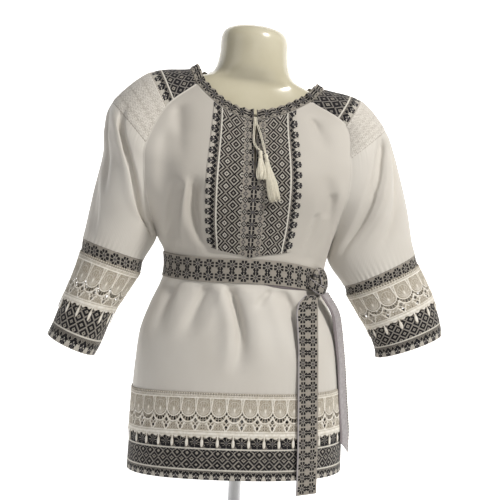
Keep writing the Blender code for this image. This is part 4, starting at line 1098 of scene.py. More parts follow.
def makeSleeve(side, s):
    net = nets[side]
    cells = s["cells"]
    down, length = spacedStops(net, cells[0], False, 0.0, *s["rows"])
    across, width = spacedStops(net, cells[1], True, s["widthRow"], -1.0, 1.0)
    lowWaves = np.round(width / s["lowPitch"])

    def gathers(rows, columns, points):
        nearLace = np.exp(-np.clip(rows - 2, 0, 9) / 0.45)
        nearBand = np.exp(-np.clip(bandTop - rows, 0, 9) / 0.22)
        edge = np.where(rows < armpitRow, 1 - np.clip((abs(columns) - 0.9) / 0.1, 0, 1), 1.0)
        top = waves(columns * width / 2, 7, s["topPitches"], s["topGather"]) * nearLace
        low = np.sin(columns * math.pi * lowWaves) * s["lowGather"] * nearBand
        return (top + low + pleatRise(side, rows, columns)) * edge

    name = "sleeve_" + side
    place = onNet(net, down, across, s["off"], gathers)
    piece = weaveCloth(name, place, cells, (width, length), "crepe", [name], closed=True)
    declare(piece, width, length)


for side in ("left", "right"):
    makeSleeve(side, sleeveSettings)
print("sleeves made")


# felled seam over each armhole, where the sleeve and the body meet, with its line of stitches

seamSettings = {"wide": 4.2, "allowance": 6.0, "off": 1.0, "cells": (150, 8), "rows": (0.02, 5.98),
                "groove": 0.9}


def makeSeam(side, facing, s):
    key, sign = ("front" if facing < 0 else "back"), (-1 if side == "left" else 1)
    steps = s["cells"][0]
    rows = np.linspace(*s["rows"], steps + 1)
    body, bodyNormal = readNet(nets[key], rows, np.full(len(rows), float(sign)))
    arm, armNormal = readNet(nets[side], rows, np.full(len(rows), float(facing)))
    inner = readNet(nets[key], rows, np.full(len(rows), sign * 0.985))[0]
    outer = readNet(nets[side], rows, np.full(len(rows), facing * 0.97))[0]
    middle, normal = 0.5 * (body + arm), bodyNormal + armNormal
    normal /= np.linalg.norm(normal, axis=1, keepdims=True)
    aside = (outer - arm) / np.linalg.norm(outer - arm, axis=1, keepdims=True)
    aside = aside - (inner - body) / np.linalg.norm(inner - body, axis=1, keepdims=True)
    aside /= np.linalg.norm(aside, axis=1, keepdims=True)

    def place(down, along, _):
        at = down * steps
        centre, out, wide = (
            np.stack([np.interp(at, np.arange(len(rows)), v[:, i]) for i in range(3)], axis=1)
            for v in (middle, normal, aside))
        across = 2 * along - 1
        rise = s["off"] * (1 - across ** 4) - s["groove"] * np.exp(-((across - 0.1) / 0.25) ** 2)
        return centre + wide * (across * s["wide"] / 2)[:, None] + out * (rise + 0.2)[:, None]

    length = np.linalg.norm(np.diff(middle, axis=0), axis=1).sum()
    name = "armhole_seam_" + side + "_" + key
    piece = weaveCloth(name, place, s["cells"], (s["wide"], length), "crepe", [])
    declare(piece, s["wide"] + s["allowance"], length, area=0.4)


for side in ("left", "right"):
    for facing in (-1, 1):
        makeSeam(side, facing, seamSettings)
print("seams made")


# woven ornament pieces

bibSettings = {"off": 1.9, "cells": (190, 126), "rows": (0.03, 6.93), "widthRow": 4.0, "drop": 0.92,
               "turnedIn": 0.9}
bandSettings = {"turned": 5, "hemOff": 0.5, "cuffOff": 0.3, "insetOff": 0.5, "hemRepeats": 19}


def makeBib(s):
    net = nets["front"]
    cells = s["cells"]
    down, length = spacedStops(net, cells[0], False, 0.0, *s["rows"])
    across, width = halvedStops(net, cells[1] // 2, s["widthRow"], bibColumn)
    lower = armpitRow + s["drop"] * np.clip(1 - abs(across) / bibColumn, 0, 1) ** 0.8

    def place(share, along, side):
        shares = np.linspace(0, 1, len(across))
        columns = np.interp(along, shares, across)
        rows = np.interp(share, np.linspace(0, 1, len(down)), down)
        rows = np.minimum(rows, np.interp(along, shares, lower))
        points, normals = readNet(net, rows, columns)
        edge = np.exp(-(np.minimum(along, 1 - along) * width / 1.0) ** 2)
        points = points + normals * (s["off"] - s["turnedIn"] * edge)[:, None]
        points[:, 0] += slitShift(rows, side, np.abs(along - 0.5) * width)
        return points

    def kept(i, j):
        return down[j] < 0.5 * (lower[i] + lower[i + 1]) - 1e-3

    piece = weaveCloth("bib", place, cells, (width, length), "weave", ["bib"],
                       lambda i, j: bibTone(i - cells[1] // 2, j), kept,
                       slit=slitSettings["lowRow"] / s["rows"][1])
    declare(piece, width, length, area=0.93)


def makeBand(name, net, rows, fixed, chart, off, closed=False, period=1, fold=True):
    # a band of ornament between two rows of a net; fixed is the row that its width is measured on
    wide = spacedStops(net, 10, True, fixed, -1, 1)[1]
    deepRows = int(round(spacedStops(net, 10, False, 0.0, *rows)[1] / stitch))
    cells = int(round(wide / stitch / period)) * period
    down, length = spacedStops(net, deepRows, False, 0.0, *rows)
    across, width = spacedStops(net, cells, True, fixed, -1, 1)
    offs, total = off, deepRows
    if fold:
        down, offs = hemmed(down, off, bandSettings["turned"])
        total = deepRows + 3

    def yarns(i, j):  # the turned edge is plain
        return np.where(j < deepRows, chart(i, j, deepRows, cells), groundYarn)

    piece = weaveCloth(name, onNet(net, down, across, offs), (total, cells), (width, length), "weave",
                       [name], yarns, closed=closed)
    declare(piece, width, length)


def makeBands(s):
    for key in ("front", "back"):
        makeBand("hem_band_" + key, nets[key], (hemLaceEnd + 0.003, hemRow), 13.5,
                 lambda i, j, deep, cells: hemTone(i, np.floor(j * 63 / deep), cells / s["hemRepeats"]),
                 s["hemOff"])
    for side in ("left", "right"):
        makeBand("sleeve_band_" + side, nets[side], (bandTop + 0.004, bandEnd + 0.02), 7.5,
                 lambda i, j, deep, cells: sleeveBandTone(i, j * 18 // deep, 15),
                 s["insetOff"], closed=True, period=15, fold=False)
        makeBand("cuff_" + side, nets[side], (laceEnd, cuffEnd), 11,
                 lambda i, j, deep, cells: cuffTone(i, j, 14, deep),
                 s["cuffOff"],
                 closed=True, period=14)
        makeBand("shoulder_inset_" + side, nets[side], (0, 0.996), 0.6,
                 lambda i, j, deep, cells: insetTone(i - cells // 2, j, deep),
                 s["insetOff"], fold=False)


makeBib(bibSettings)
makeBands(bandSettings)
print("ornament bands made")


# gathered casing at the neck, a ribbon folded over a hidden cord

casingSettings = {
    "waves": 38, "depth": 2.3, "height": 18.0, "lessAtSides": 3.0, "clear": 1.1, "thick": 0.75,
    "cells": (14, 532),       # of the outer side: down and along
    "fullness": 1.25,         # the ribbon's length before it was gathered, over the neck's
}
# fold over the cord and down the inner side: share of the height, then outside 1 or inside -1
casingFold = [(1.03, 0.6), (1.03, -0.6), (0.75, -1.0), (0.3, -1.0), (0.0, -1.0)]


def neckEdge():
    stretches = [("front", 0, 1, 40), ("right", -0.96, 0.96, 40), ("back", 1, -1, 60),
                 ("left", 0.96, -0.96, 40), ("front", -1, 0, 40)]
    return np.concatenate([readNet(nets[key], np.zeros(count), np.linspace(start, end, count))[0]
                           for key, start, end, count in stretches])


def makeCasing(s):
    edge, stops = neckEdge(), 400
    lengths = np.concatenate([[0], np.cumsum(np.linalg.norm(np.diff(edge, axis=0), axis=1))])
    around = lengths[-1]
    even = np.linspace(0, around, stops)
    edge = np.stack([np.interp(even, lengths, edge[:, i]) for i in range(3)], axis=1)
    ahead = np.gradient(edge, axis=0)
    inward = np.stack([-edge[:, 0], -edge[:, 1], np.zeros(stops)], axis=1)
    inward /= np.linalg.norm(inward, axis=1, keepdims=True)
    side = np.minimum(abs(edge[:, 0]) / 120, 1)
    lean = inward * (0.38 + 0.5 * side)[:, None]
    lean[:, 2] = 0.92 - 0.45 * side
    lean /= np.linalg.norm(lean, axis=1, keepdims=True)
    outward = np.cross(lean, ahead)
    outward /= np.linalg.norm(outward, axis=1, keepdims=True)
    outward *= np.sign(-(outward * inward).sum(axis=1))[:, None]
    rows, cells = s["cells"]
    heights = np.concatenate([np.linspace(0, 1, rows + 1), column(casingFold, 0)])
    thick = np.concatenate([np.full(rows + 1, 1.0), column(casingFold, 1)])
    shares = np.linspace(0, 1, len(heights))

    def place(down, along, _):
        height, across = np.interp(down, shares, heights), np.interp(down, shares, thick)
        at = along * (stops - 1)
        base, up, out = (np.stack([np.interp(at, np.arange(stops), v[:, i]) for i in range(3)], axis=1)
                         for v in (edge, lean, outward))
        near = np.interp(at, np.arange(stops), side)
        wave = np.cos(2 * math.pi * s["waves"] * along + 0.5 + 0.6 * np.sin(along * 40))
        low = np.clip(height / 0.4, 0, 1)
        smoothed = low ** 2 * (3 - 2 * low)
        pinch = 1 - 0.35 * np.exp(-((height - 0.55) / 0.14) ** 2)
        rise = wave * s["depth"] * (0.35 + 0.65 * smoothed) * pinch
        points = base + up * (s["clear"] + height * (s["height"] - s["lessAtSides"] * near))[:, None]
        points += out * (rise + across * s["thick"])[:, None]
        # the two ends stay open at the slit
        closeness = np.clip(np.minimum(along, 1 - along) * around / 6, 0, 1)
        target = bibMiddle + (0.5 - along) * (slitSettings["top"] - 0.6)
        ending = points[:, 0] * closeness + target * (1 - closeness)
        points[:, 0] = np.where(closeness < 1, ending, points[:, 0])
        return points

    size = (1.15 * around, 2 * s["height"])
    piece = weaveCloth("neck_casing", place, (len(heights) - 1, cells), size, "weave", ["neck_casing"],
                       lambda i, j: np.where(j < rows, casingTone(i, rows - j), groundYarn))
    declare(piece, s["fullness"] * around, 2 * s["height"] - 2)


makeCasing(casingSettings)
print("casing made")


# belt: the wrap, the knot and two free ends, woven as one strap 40 mm wide

beltSettings = {
    "off": 2.3, "thick": 1.1, "tailWidth": 36,
    "repeats": 38, "wrapCells": 32,
    "frontCells": (264, 32), "backCells": (228, 32), "backLength": 270,
    "turnedFrom": 28, "foldTo": 7, "backChart": 286,  # stitches across, and the chart's length
    "straight": 0.89, "tip": 148,                  # where the back tail's end turns, and its lowest point
    "underFrom": 24, "underTo": 98, "underRow": 7.6, "underThick": 0.6, "underFlat": (75, 20),
}


def thicken(piece, thick, back):
    piece.data.materials.append(finishes[back])
    wall = piece.modifiers.new("cloth thickness", "SOLIDIFY")
    wall.thickness = thick * mm
    wall.offset = -1
    wall.material_offset = 1


def makeWrap(s):
    down = s["wrapCells"]
    rows, rowLength = spacedStops(nets["front"], down, False, 0.0, float(beltTop), float(beltLow))
    cells = 15 * s["repeats"]
    beltRow = 0.5 * (beltTop + beltLow)
    half = {key: spacedStops(nets[key], cells // 2, True, beltRow, -1.0, 1.0) for key in ("front", "back")}

    def place(share, along, _):
        row = np.interp(share, np.linspace(0, 1, down + 1), rows)
        turned = along > 0.5
        reach = np.where(turned, 2 * (1 - along), 2 * along)
        found = []
        for key in ("front", "back"):
            columns = np.interp(reach, np.linspace(0, 1, cells // 2 + 1), half[key][0])
            points, normals = readNet(nets[key], row, columns)
            found.append(points + normals * s["off"])
        points = np.where(turned[:, None], found[1], found[0])
        seam = np.exp(-(np.minimum(reach, 1 - reach) * 300 / 2.5) ** 2)
        joined = 0.5 * (found[0] + found[1])
        joined[:, 1] = 0.0
        return points * (1 - seam)[:, None] + joined * seam[:, None]

    width = half["front"][1] + half["back"][1]
    piece = weaveCloth("belt_wrap", place, (down, cells), (width, rowLength), "weave", ["belt_wrap"],
                       beltTone, closed=True)
    thicken(piece, s["thick"], "beltBack")
    declare(piece, width, rowLength)


def makeUnder(s):  # the inner turn of the belt shows below the outer one, beside the knot
    low, high = acrossAt(7.9, s["underFrom"]), acrossAt(7.9, s["underTo"])
    width, length = s["underFlat"]

    def place(down, along, _):
        row = s["underRow"] + down * (0.4 + 0.09 * np.sin(math.pi * along) ** 0.7)
        points, normals = readNet(nets["front"], row, low + (high - low) * along)
        return points + normals * (s["off"] - 1.2)

    piece = weaveCloth("belt_under", place, (8, 60), (width, 10), "beltBack", [],
                       lambda i, j: np.ones(len(i)))
    thicken(piece, s["underThick"], "beltBack")
    declare(piece, width, length, area=0.85)


# height, middle x, off the cloth, width
frontTail = [(428.4, 104, 10.2, 24), (417, 99, 9.0, 33), (402, 99, 7.4, 36), (340, 102, 6.2, 36),
             (260, 105, 6.0, 36), (180, 108, 6.0, 36), (97, 110, 5.6, 36)]
# height, x and y of the near edge, x and y of the far edge
backTail = [(434.9, 123.2, -67.1, 141, -51), (400, 146, -62, 166, -30), (365, 155, -52, 176, -19),
            (310, 165, -46, 185, -12), (250, 171, -44, 192, -9), (188, 177, -43, 199, -8)]
lowestHeld = 180.0  # under this height the front tail hangs straight down


def makeFrontTail(s):
    grid, spots = [], 8
    for z, middle, off, width in frontTail:
        held = max(z, lowestHeld)
        line = [np.array(frontAt(middle + share * width, held, off))
                for share in np.linspace(-0.5, 0.5, spots + 1)]
        grid.append([point + np.array([0, 0, z - held]) for point in line])
    grid = np.array(grid)
    heights = grid[:, :, 2].mean(axis=1)

    def place(down, along, _):
        wantedZ = heights[0] + (heights[-1] - heights[0]) * down
        at = np.interp(-wantedZ, -heights, np.arange(len(heights)))
        first = np.clip(at.astype(int), 0, len(heights) - 2)
        t = at - first
        lines = grid[first] * (1 - t)[:, None, None] + grid[first + 1] * t[:, None, None]
        spot = along * spots
        j = np.clip(spot.astype(int), 0, spots - 1)
        u = spot - j
        index = np.arange(len(down))
        points = lines[index, j] * (1 - u)[:, None] + lines[index, j + 1] * u[:, None]
        # the strap's own bends, and its left edge curling forward
        curl = 2.2 * np.exp(-(along / 0.1) ** 2) * (down < 0.97)
        points[:, 1] -= 0.8 * np.sin(down * 9 + 1) * np.sin(along * 3.1) + curl
        return points

    width, length = s["tailWidth"], heights[0] - heights[-1]
    piece = weaveCloth("belt_tail_front", place, s["frontCells"], (width, length), "weave",
                       ["belt_tail_front"], lambda i, j: beltTone(j, i), turned=lambda i, j: i < 2)
    thicken(piece, s["thick"], "beltBack")
    declare(piece, width, length)


def smoothAt(values, at):  # the same curve as splineAt, for arrays
    return np.array([splineAt(list(values), a) for a in at])


def makeBackTail(s):
    rows = np.array(backTail, float)
    top, low = rows[0, 0], rows[-1, 0]

    def place(down, along, _):
        z = top + (low - top) * np.minimum(down / s["straight"], 1)
        at = np.interp(-z, -rows[:, 0], np.arange(len(rows)))
        near, far = (np.stack([smoothAt(rows[:, i], at) for i in pair], axis=1)
                     for pair in ((1, 2), (3, 4)))
        flat = near + (far - near) * along[:, None]
        bulge = 2.0 * np.sin(along * math.pi) * np.sin(down * 7)
        over = np.clip((down - s["straight"]) / (1 - s["straight"]), 0, 1)
        tip = over * (s["tip"] - low) * (0.35 + 0.65 * along)
        return np.stack([flat[:, 0] + 0.7 * bulge, flat[:, 1] - bulge, z + tip], axis=1)

    def chart(i, j):  # the edge shows the right side, and the rest the faint wrong side
        faint = np.where(beltTone(j, i) > greyYarn, greyYarn, groundYarn)
        stripes = np.where(j % 4 < 2, blackYarn, lightYarn)
        return np.where(i > s["turnedFrom"], stripes, np.where(i < s["foldTo"], blackYarn, faint))

    piece = weaveCloth("belt_tail_back", place, s["backCells"],
                       (s["tailWidth"], s["backChart"]), "beltBack", ["belt_tail_back"], chart,
                       turned=lambda i, j: i > s["turnedFrom"])
    thicken(piece, s["thick"], "weave")
    declare(piece, s["tailWidth"], s["backLength"])


knotSettings = {
    "x": 115.0, "z": 454.0, "width": 40.0, "height": 44.0, "thick": 13.0, "off": 11.0, "lean": 14.0,
    "cuts": 31, "strapThick": 1.0,
    # middle, slope, width, depth
    "folds": [(0.55, 0.3, 0.12, 1.8), (0.15, 0.15, 0.1, 2.0), (-0.3, 0.1, 0.12, 1.6)],
}
# straps over it: sideways, up, out, width, its direction in degrees, bulge
strapSettings = {
    "over": {
        "length": 52.0, "lanes": (16, 32),
        "path": [(-4, 23, 3, 15, 12, 1), (-1.5, 18, 9, 18, 15, 2), (4.5, 8, 12, 19, 20, 2.5),
                 (10, -4, 12.5, 19, 25, 2.5), (14, -13, 10.5, 18, 30, 2), (17, -20, 4, 15, 36, 1)]},
    "wrap": {
        "length": 56.0, "lanes": (8, 24),
        "path": [(-21, -6, 1.5, 16, 100, 1), (-17.5, -9.5, 8.5, 17, 98, 2), (-6, -13.5, 13.5, 16, 94, 3),
                 (5, -14.5, 15, 15, 90, 3), (13, -12.5, 13.5, 14, 84, 2), (20, -9, 6, 12, 78, 1)]},
}


def knotFrame(s):
    seat, flat = frontAt(s["x"], s["z"], s["off"]), frontAt(s["x"], s["z"], 0)
    outward = (seat - flat).normalized()
    lean = math.radians(s["lean"])
    sideways = Vector((math.sin(lean), 0, math.cos(lean))).cross(outward).normalized()
    upward = outward.cross(sideways).normalized()
    return [np.array(v) for v in (seat, sideways, upward, outward)]


def makeKnot(s):
    seat, sideways, upward, outward = knotFrame(s)
    bm = bmesh.new()
    bmesh.ops.create_cube(bm, size=2.0)
    bmesh.ops.subdivide_edges(bm, edges=bm.edges[:], cuts=s["cuts"], use_grid_fill=True)
    yarn = bm.faces.layers.float.new("thread")
    uv = bm.loops.layers.uv.new("cloth")
    centres = np.array([f.calc_center_median() for f in bm.faces])
    along, across = (centres[:, 0] + 1) * 20, (centres[:, 2] + 1) * 16
    for face, value in zip(bm.faces, beltTone(np.floor(along), np.floor(across) % 32)):
        face[yarn] = value
        for loop in face.loops:
            loop[uv].uv = (loop.vert.co.x * 0.02, loop.vert.co.z * 0.022)
    co = np.array([v.co for v in bm.verts])
    rounded = co / (np.abs(co) ** 3.0).sum(axis=1)[:, None] ** (1 / 3.0)
    waist = 1 - 0.2 * np.exp(-(co[:, 2] / 0.45) ** 2) * abs(co[:, 0])
    fold = 0
    for middle, slope, width, depth in s["folds"]:
        fold = fold + depth * np.exp(-((co[:, 2] - middle - slope * co[:, 0]) / width) ** 2)
    out = rounded[:, 1] * s["thick"] * 0.42 + 1.5 + fold * np.clip(-co[:, 1], 0, 1)
    points = seat + sideways * (rounded[:, :1] * s["width"] * 0.45 * waist[:, None])
    points = points + upward * (rounded[:, 2:] * s["height"] * 0.42)
    points = points - outward * out[:, None]
    for vert, point in zip(bm.verts, points):
        vert.co = point * mm
    bmesh.ops.recalc_face_normals(bm, faces=bm.faces[:])
    finishPiece("belt_knot", bm, "weave", ["belt_knot"])


def makeStrap(key, s, knot):  # a length of belt that lies over the knot
    seat, sideways, upward, outward = knotFrame(knot)
    path, length = s["path"], s["length"]
    first, last = s["lanes"]
    cells, count = int(length / stitch), last - first

    def place(down, along, _):
        at = down * (len(path) - 1)
        x, y, out, width, turn, bulge = (smoothAt(column(path, i), at) for i in range(6))
        across = along - 0.5
        turn = np.radians(turn)
        crease = 0.7 * np.sin(across * 9 + 2 * down) + 0.5 * np.sin(across * 17 + 5)
        rise = out + bulge * (1 - 4 * across ** 2) + crease * (1 - abs(2 * down - 1) ** 3)
        flat = sideways * (x + across * width * np.cos(turn))[:, None]
        flat = flat + upward * (y + across * width * np.sin(turn))[:, None]
        return seat + flat + outward * (rise - knot["thick"] / 2)[:, None]

    piece = weaveCloth("belt_knot_" + key, place, (cells, count), (count * stitch, length), "weave", [],
                       lambda i, j: beltTone(j + 4, i + first),
                       turned=lambda i, j: (i < 1) | (i > count - 2))
    thicken(piece, knot["strapThick"], "beltBack")
    declare(piece, count * stitch, length)


makeWrap(beltSettings)
makeUnder(beltSettings)
makeFrontTail(beltSettings)
makeBackTail(beltSettings)
makeKnot(knotSettings)
for key, settings in strapSettings.items():
    makeStrap(key, settings, knotSettings)
print("belt made")


# lace pieces

# pale lightens the lace's painted shade of its low parts
laceSettings = {
    "width": 25.8, "foot": 73, "long": 86,         # a repeat, the depth to its foot and with its drops
    "off": 1.7, "rise": 1.3, "pale": 0.0, "cells": (100, 28), "repeats": 19}
backLace = dict(laceSettings, cells=(86, 24))
sleeveLace = dict(laceSettings, off=1.2, repeats=7)
sleeveBackLace = dict(backLace, off=1.2, repeats=7)
shoulderLace = {
    "width": 9.6, "picot": 2.4, "off": 0.7, "rise": 1.3, "pale": 0.2, "cells": (54, 12), "sunk": 0.75}


def lacePlace(net, rows, stops):
    shares = np.linspace(0, 1, len(stops))

    def place(z, share):
        row = np.interp(z, rows[0], rows[1])
        return readNet(net, row, np.interp(share, shares, stops))

    return place


def laceRows(top, foot, s):  # rows of a net for the heading, the foot and the ends of the drops
    beyond = (foot - top) * (s["long"] - s["foot"]) / s["foot"]
    return [0, s["foot"], s["long"]], [top, foot, foot + beyond]


def makeHemLace(key, s):
    net, name = nets[key], "hem_lace_" + key
    stops, length = spacedStops(net, 4 * s["repeats"], True, 12.5, -1.0, 1.0)
    lap = 4 / s["foot"]  # 4 mm lie on the cloth above and on the band below
    place = lacePlace(net, laceRows(hemLaceTop - lap, hemLaceEnd + lap, s), stops)
    piece = makeLace(name, place, laceStrokes, s, s["repeats"], length, (0, s["long"]))
    declare(piece, length, s["long"], area=0.75)


def makeSleeveLace(side, key, s):
    net, name = nets[side], "sleeve_lace_" + side + "_" + key
    facing = -1.0 if key == "front" else 1.0
    _, length = spacedStops(net, 10, True, 9.0, 0.0, facing)
    stops = np.linspace(0.001, 0.999, 29) * facing
    place = lacePlace(net, laceRows(bandEnd - 0.06, laceEnd + 0.02, s), stops)
    piece = makeLace(name, place, laceStrokes, s, s["repeats"], length, (0, s["long"]))
    declare(piece, length, s["long"], area=0.75)


def makeShoulderLace(side, s):
    net, name = nets[side], "shoulder_lace_" + side
    _, deep = spacedStops(net, 10, False, 0.0, 1.004, 1.996)
    _, length = spacedStops(net, 10, True, 1.5, -1.0, 1.0)
    repeats = int(round(length / s["width"]))
    stops, _ = spacedStops(net, repeats, True, 1.5, -1.0, 1.0)
    picot = s["picot"]
    depths = [-picot, 0, deep, deep + picot]
    place = lacePlace(net, (depths, [1.004 - picot / deep, 1.004, 1.996, 1.996 + picot / deep]), stops)
    piece = makeLace(name, place, shoulderStrokes, dict(s, deep=deep), repeats, length,
                     (depths[0], depths[-1]), "softGuipure", s["sunk"])
    declare(piece, length, deep, area=0.8)


makeHemLace("front", laceSettings)
makeHemLace("back", backLace)
for side in ("left", "right"):
    makeSleeveLace(side, "front", sleeveLace)
    makeSleeveLace(side, "back", sleeveBackLace)
    makeShoulderLace(side, shoulderLace)
print("lace made")


# cords and tassels: a cord's stops are x, off the cloth and height

cordSettings = {
    "thick": 1.35, "apart": 0.75, "seat": 1.1, "stops": 60,
    "routes": {
        "short": [(-3.5, -1.2, 723.5), (-3.5, 1.6, 717.5), (-3.6, 2.5, 710), (-4.6, 2.5, 696),
                  (-5.0, 2.5, 686), (-3.6, 3.0, 676), (1.0, 4.4, 668.5)],
        "long": [(-0.5, -1.2, 723.5), (-0.5, 1.6, 717.5), (0.3, 2.7, 710), (3.6, 2.8, 701),
                 (7.2, 3.2, 689), (10.6, 4.6, 675), (12.9, 6.2, 665)]},
}
tasselSettings = {
    "strands": 110, "thread": 0.55, "sides": 4, "steps": 9, "headSides": 32, "hangFrom": 9.5,
    "ends": {"short": ((5.9, 5.2, 664), (10.4, 5.6, 618)), "long": ((14.4, 7.2, 658), (32.5, 10.6, 585))},
    "sizes": {"short": (16.0, 8.0), "long": (19.0, 9.0)},     # width and thickness
    # head: a knob of wound thread with a binding under it, radius and distance down
    "head": [(0.0, -0.6), (1.6, -0.3), (2.9, 0.9), (3.4, 2.6), (3.3, 4.6), (2.9, 6.4), (2.7, 7.2),
             (3.1, 7.6), (3.1, 8.3), (2.75, 8.6), (3.1, 8.9), (3.1, 9.6), (2.7, 10.0), (3.2, 11.5),
             (2.4, 12.5), (0.0, 12.5)],
}


def cordPlace(x, off, z):
    point = frontAt(x, z, off + 2.3)
    point.z += max(0.0, z - 720)
    return point


def addTube(name, points, radius, finish, resolution=3):
    data = bpy.data.curves.new(name, "CURVE")
    data.dimensions = "3D"
    data.bevel_depth = radius * mm
    data.bevel_resolution = resolution
    data.use_fill_caps = True
    line = data.splines.new("POLY")
    line.points.add(len(points) - 1)
    for stop, point in zip(line.points, points):
        stop.co = (*(Vector(point) * mm), 1.0)
    data.materials.append(finishes[finish])
    tube = bpy.data.objects.new(name, data)
    bpy.context.scene.collection.objects.link(tube)
    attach(tube, "root")
    return tube


def makeCord(key, s):
    head, end = (cordPlace(*place) for place in tasselSettings["ends"][key])
    knots = [cordPlace(*stop) for stop in s["routes"][key]]
    knots.append(head - (end - head).normalized() * s["seat"])
    last = s["stops"] - 1
    line = [Vector([splineAt(column(knots, i), at) for i in range(3)])
            for at in np.linspace(0, len(knots) - 1, s["stops"])]
    for strand, way in (("a", -1), ("b", 1)):
        points = []
        for index, point in enumerate(line):
            ahead = (line[min(index + 1, last)] - line[max(index - 1, 0)]).normalized()
            aside = ahead.cross(Vector((0, -1, 0))).normalized()
            spread = s["apart"] * (1 + 0.5 * math.sin(index / last * math.pi))
            spread *= min(1.0, (last - index) / 8)
            points.append(point + aside * way * max(spread, 0.4))
        tube = addTube("drawcord_" + key + "_" + strand, points, s["thick"] / 2, "cotton")
        if strand == "a":
            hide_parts("drawcord_" + key)


def makeTassel(key, s):
    head, end = (cordPlace(*place) for place in s["ends"][key])
    width, thick = s["sizes"][key]
    down = (end - head).normalized()
    out = Vector((0.0, -1.0, 0.0))
    out = (out - down * out.dot(down)).normalized()
    side = down.cross(out).normalized()
    reach = (end - head).length
    local = np.random.default_rng(len(key))
    bm = bmesh.new()
    verts = [bm.verts.new((r, 0, z)) for r, z in s["head"]]
    edges = [bm.edges.new(pair) for pair in zip(verts, verts[1:])]
    bmesh.ops.spin(bm, geom=verts + edges, cent=(0, 0, 0), axis=(0, 0, 1), angle=2 * math.pi,
                   steps=s["headSides"], use_merge=True, use_duplicate=False)
    bmesh.ops.remove_doubles(bm, verts=bm.verts[:], dist=0.01)  # closes the poles
    for vert in bm.verts:
        x, y, z = vert.co
        ribbed = 1 + 0.05 * math.cos(math.atan2(y, x) * 16) * (z > 0.5) * (z < 7)
        vert.co = head + side * (x * ribbed) + out * (y * ribbed * thick / 9) + down * z
    # strands: thin threads that hang from the binding
    top = s["hangFrom"]
    for _ in range(s["strands"]):
        turn, radius = local.uniform(0, 2 * math.pi), math.sqrt(local.uniform(0.02, 1))
        finish = 1 - 0.08 * local.uniform()
        drift, curl = local.normal(0, 0.6), local.uniform(0, 6.28)
        made = bmesh.ops.create_grid(bm, x_segments=s["sides"], y_segments=s["steps"], size=0.5)
        for vert in made["verts"]:
            share, around = 0.5 - vert.co.y, (vert.co.x + 0.5) * 2 * math.pi
            along = top + share * (reach * finish - top)
            spread = (0.32 + 0.68 * smooth(0, 0.75, share)) * (1 + 0.05 * drift * share)
            x = radius * math.cos(turn) * width / 2 * spread + drift * share
            x += 0.5 * math.sin(curl + 5 * share)
            y = radius * math.sin(turn) * thick / 2 * spread
            thread = s["thread"] * (1 - 0.6 * smooth(0.93, 1.0, share))
            x, y = x + thread * math.cos(around), y + thread * math.sin(around)
            vert.co = head + down * along + side * x + out * y
    bmesh.ops.scale(bm, verts=bm.verts[:], vec=(mm, mm, mm))
    finishPiece("tassel_" + key, bm, "cotton", ["tassel_" + key])


for key in ("short", "long"):
    makeCord(key, cordSettings)
    makeTassel(key, tasselSettings)
print("cords and tassels made")


# the form and its stand

# z, middle x, middle y, half x, half y, squareness, lean in degrees
formRows = [
    (276, -3, 0, 150, 96, 2.2, 0), (340, -3, 0, 146, 92, 2.2, 0), (400, -3, 0, 130, 80, 2.2, 0),
    (460, -3, 0, 116, 70, 2.1, 0),
    (520, -3, -4, 122, 78, 2.1, -1), (580, -3, -6, 138, 92, 2.2, -2), (630, -3, -5, 150, 92, 2.3, -3),
    (680, -3, -2, 158, 80, 2.4, -4), (722, -3, 2, 163, 68, 2.5, -5), (752, -3, 4, 158, 56, 2.4, -5),
    (775, -3, 5, 140, 47, 2.1, -5), (788, -3, 5, 108, 45, 2.0, -4.5), (799, -3, 4, 76, 50, 2.0, -3.5),
    (814, -3, 3, 64, 56, 2.0, -3), (838, -3, 0, 59, 55, 2.0, -3), (862, -3, -1, 58, 55, 2.0, -3),
    (876, -3, -1, 53, 50, 2.0, -3), (884, -3, -1, 40, 37, 2.0, -3), (888, -3, -1, 18, 16, 2.0, -3)]
formSettings = {"sides": 96, "perRow": 4}


def makeForm(s):
    count = (len(formRows) - 1) * s["perRow"]
    bm = bmesh.new()
    bmesh.ops.create_cone(bm, cap_ends=True, cap_tris=False, segments=s["sides"], radius1=1, radius2=1,
                          depth=1)
    uprights = [e for e in bm.edges if abs(e.verts[0].co.z - e.verts[1].co.z) > 0.5]
    bmesh.ops.subdivide_edges(bm, edges=uprights, cuts=count - 1)
    columns = [[row[i] for row in formRows] for i in range(7)]
    for vert in bm.verts:
        at = (vert.co.z + 0.5) * (len(formRows) - 1)
        z, middleX, middleY, halfX, halfY, square, lean = (splineAt(c, at) for c in columns)
        angle = math.atan2(vert.co.y, vert.co.x)
        x, y = (math.copysign(abs(w) ** (2 / square), w) for w in (math.cos(angle), math.sin(angle)))
        tilt = math.tan(math.radians(lean))
        vert.co = Vector((middleX + x * halfX, middleY + y * halfY, z + x * halfX * tilt)) * mm
    finishPiece("form_torso_surface", bm, "plastic", ["form_torso"])


# profiles: radius and height
standSettings = {
    "disc": {"sides": 96, "profile": [(0, 0), (108, 0), (110, 2), (110, 10), (108, 12), (0, 12)]},
    "pole": {"sides": 48, "profile": [(0, 12.3), (11, 12.3), (11, 275.7), (0, 275.7)]},
    "edge": 1.2,
}


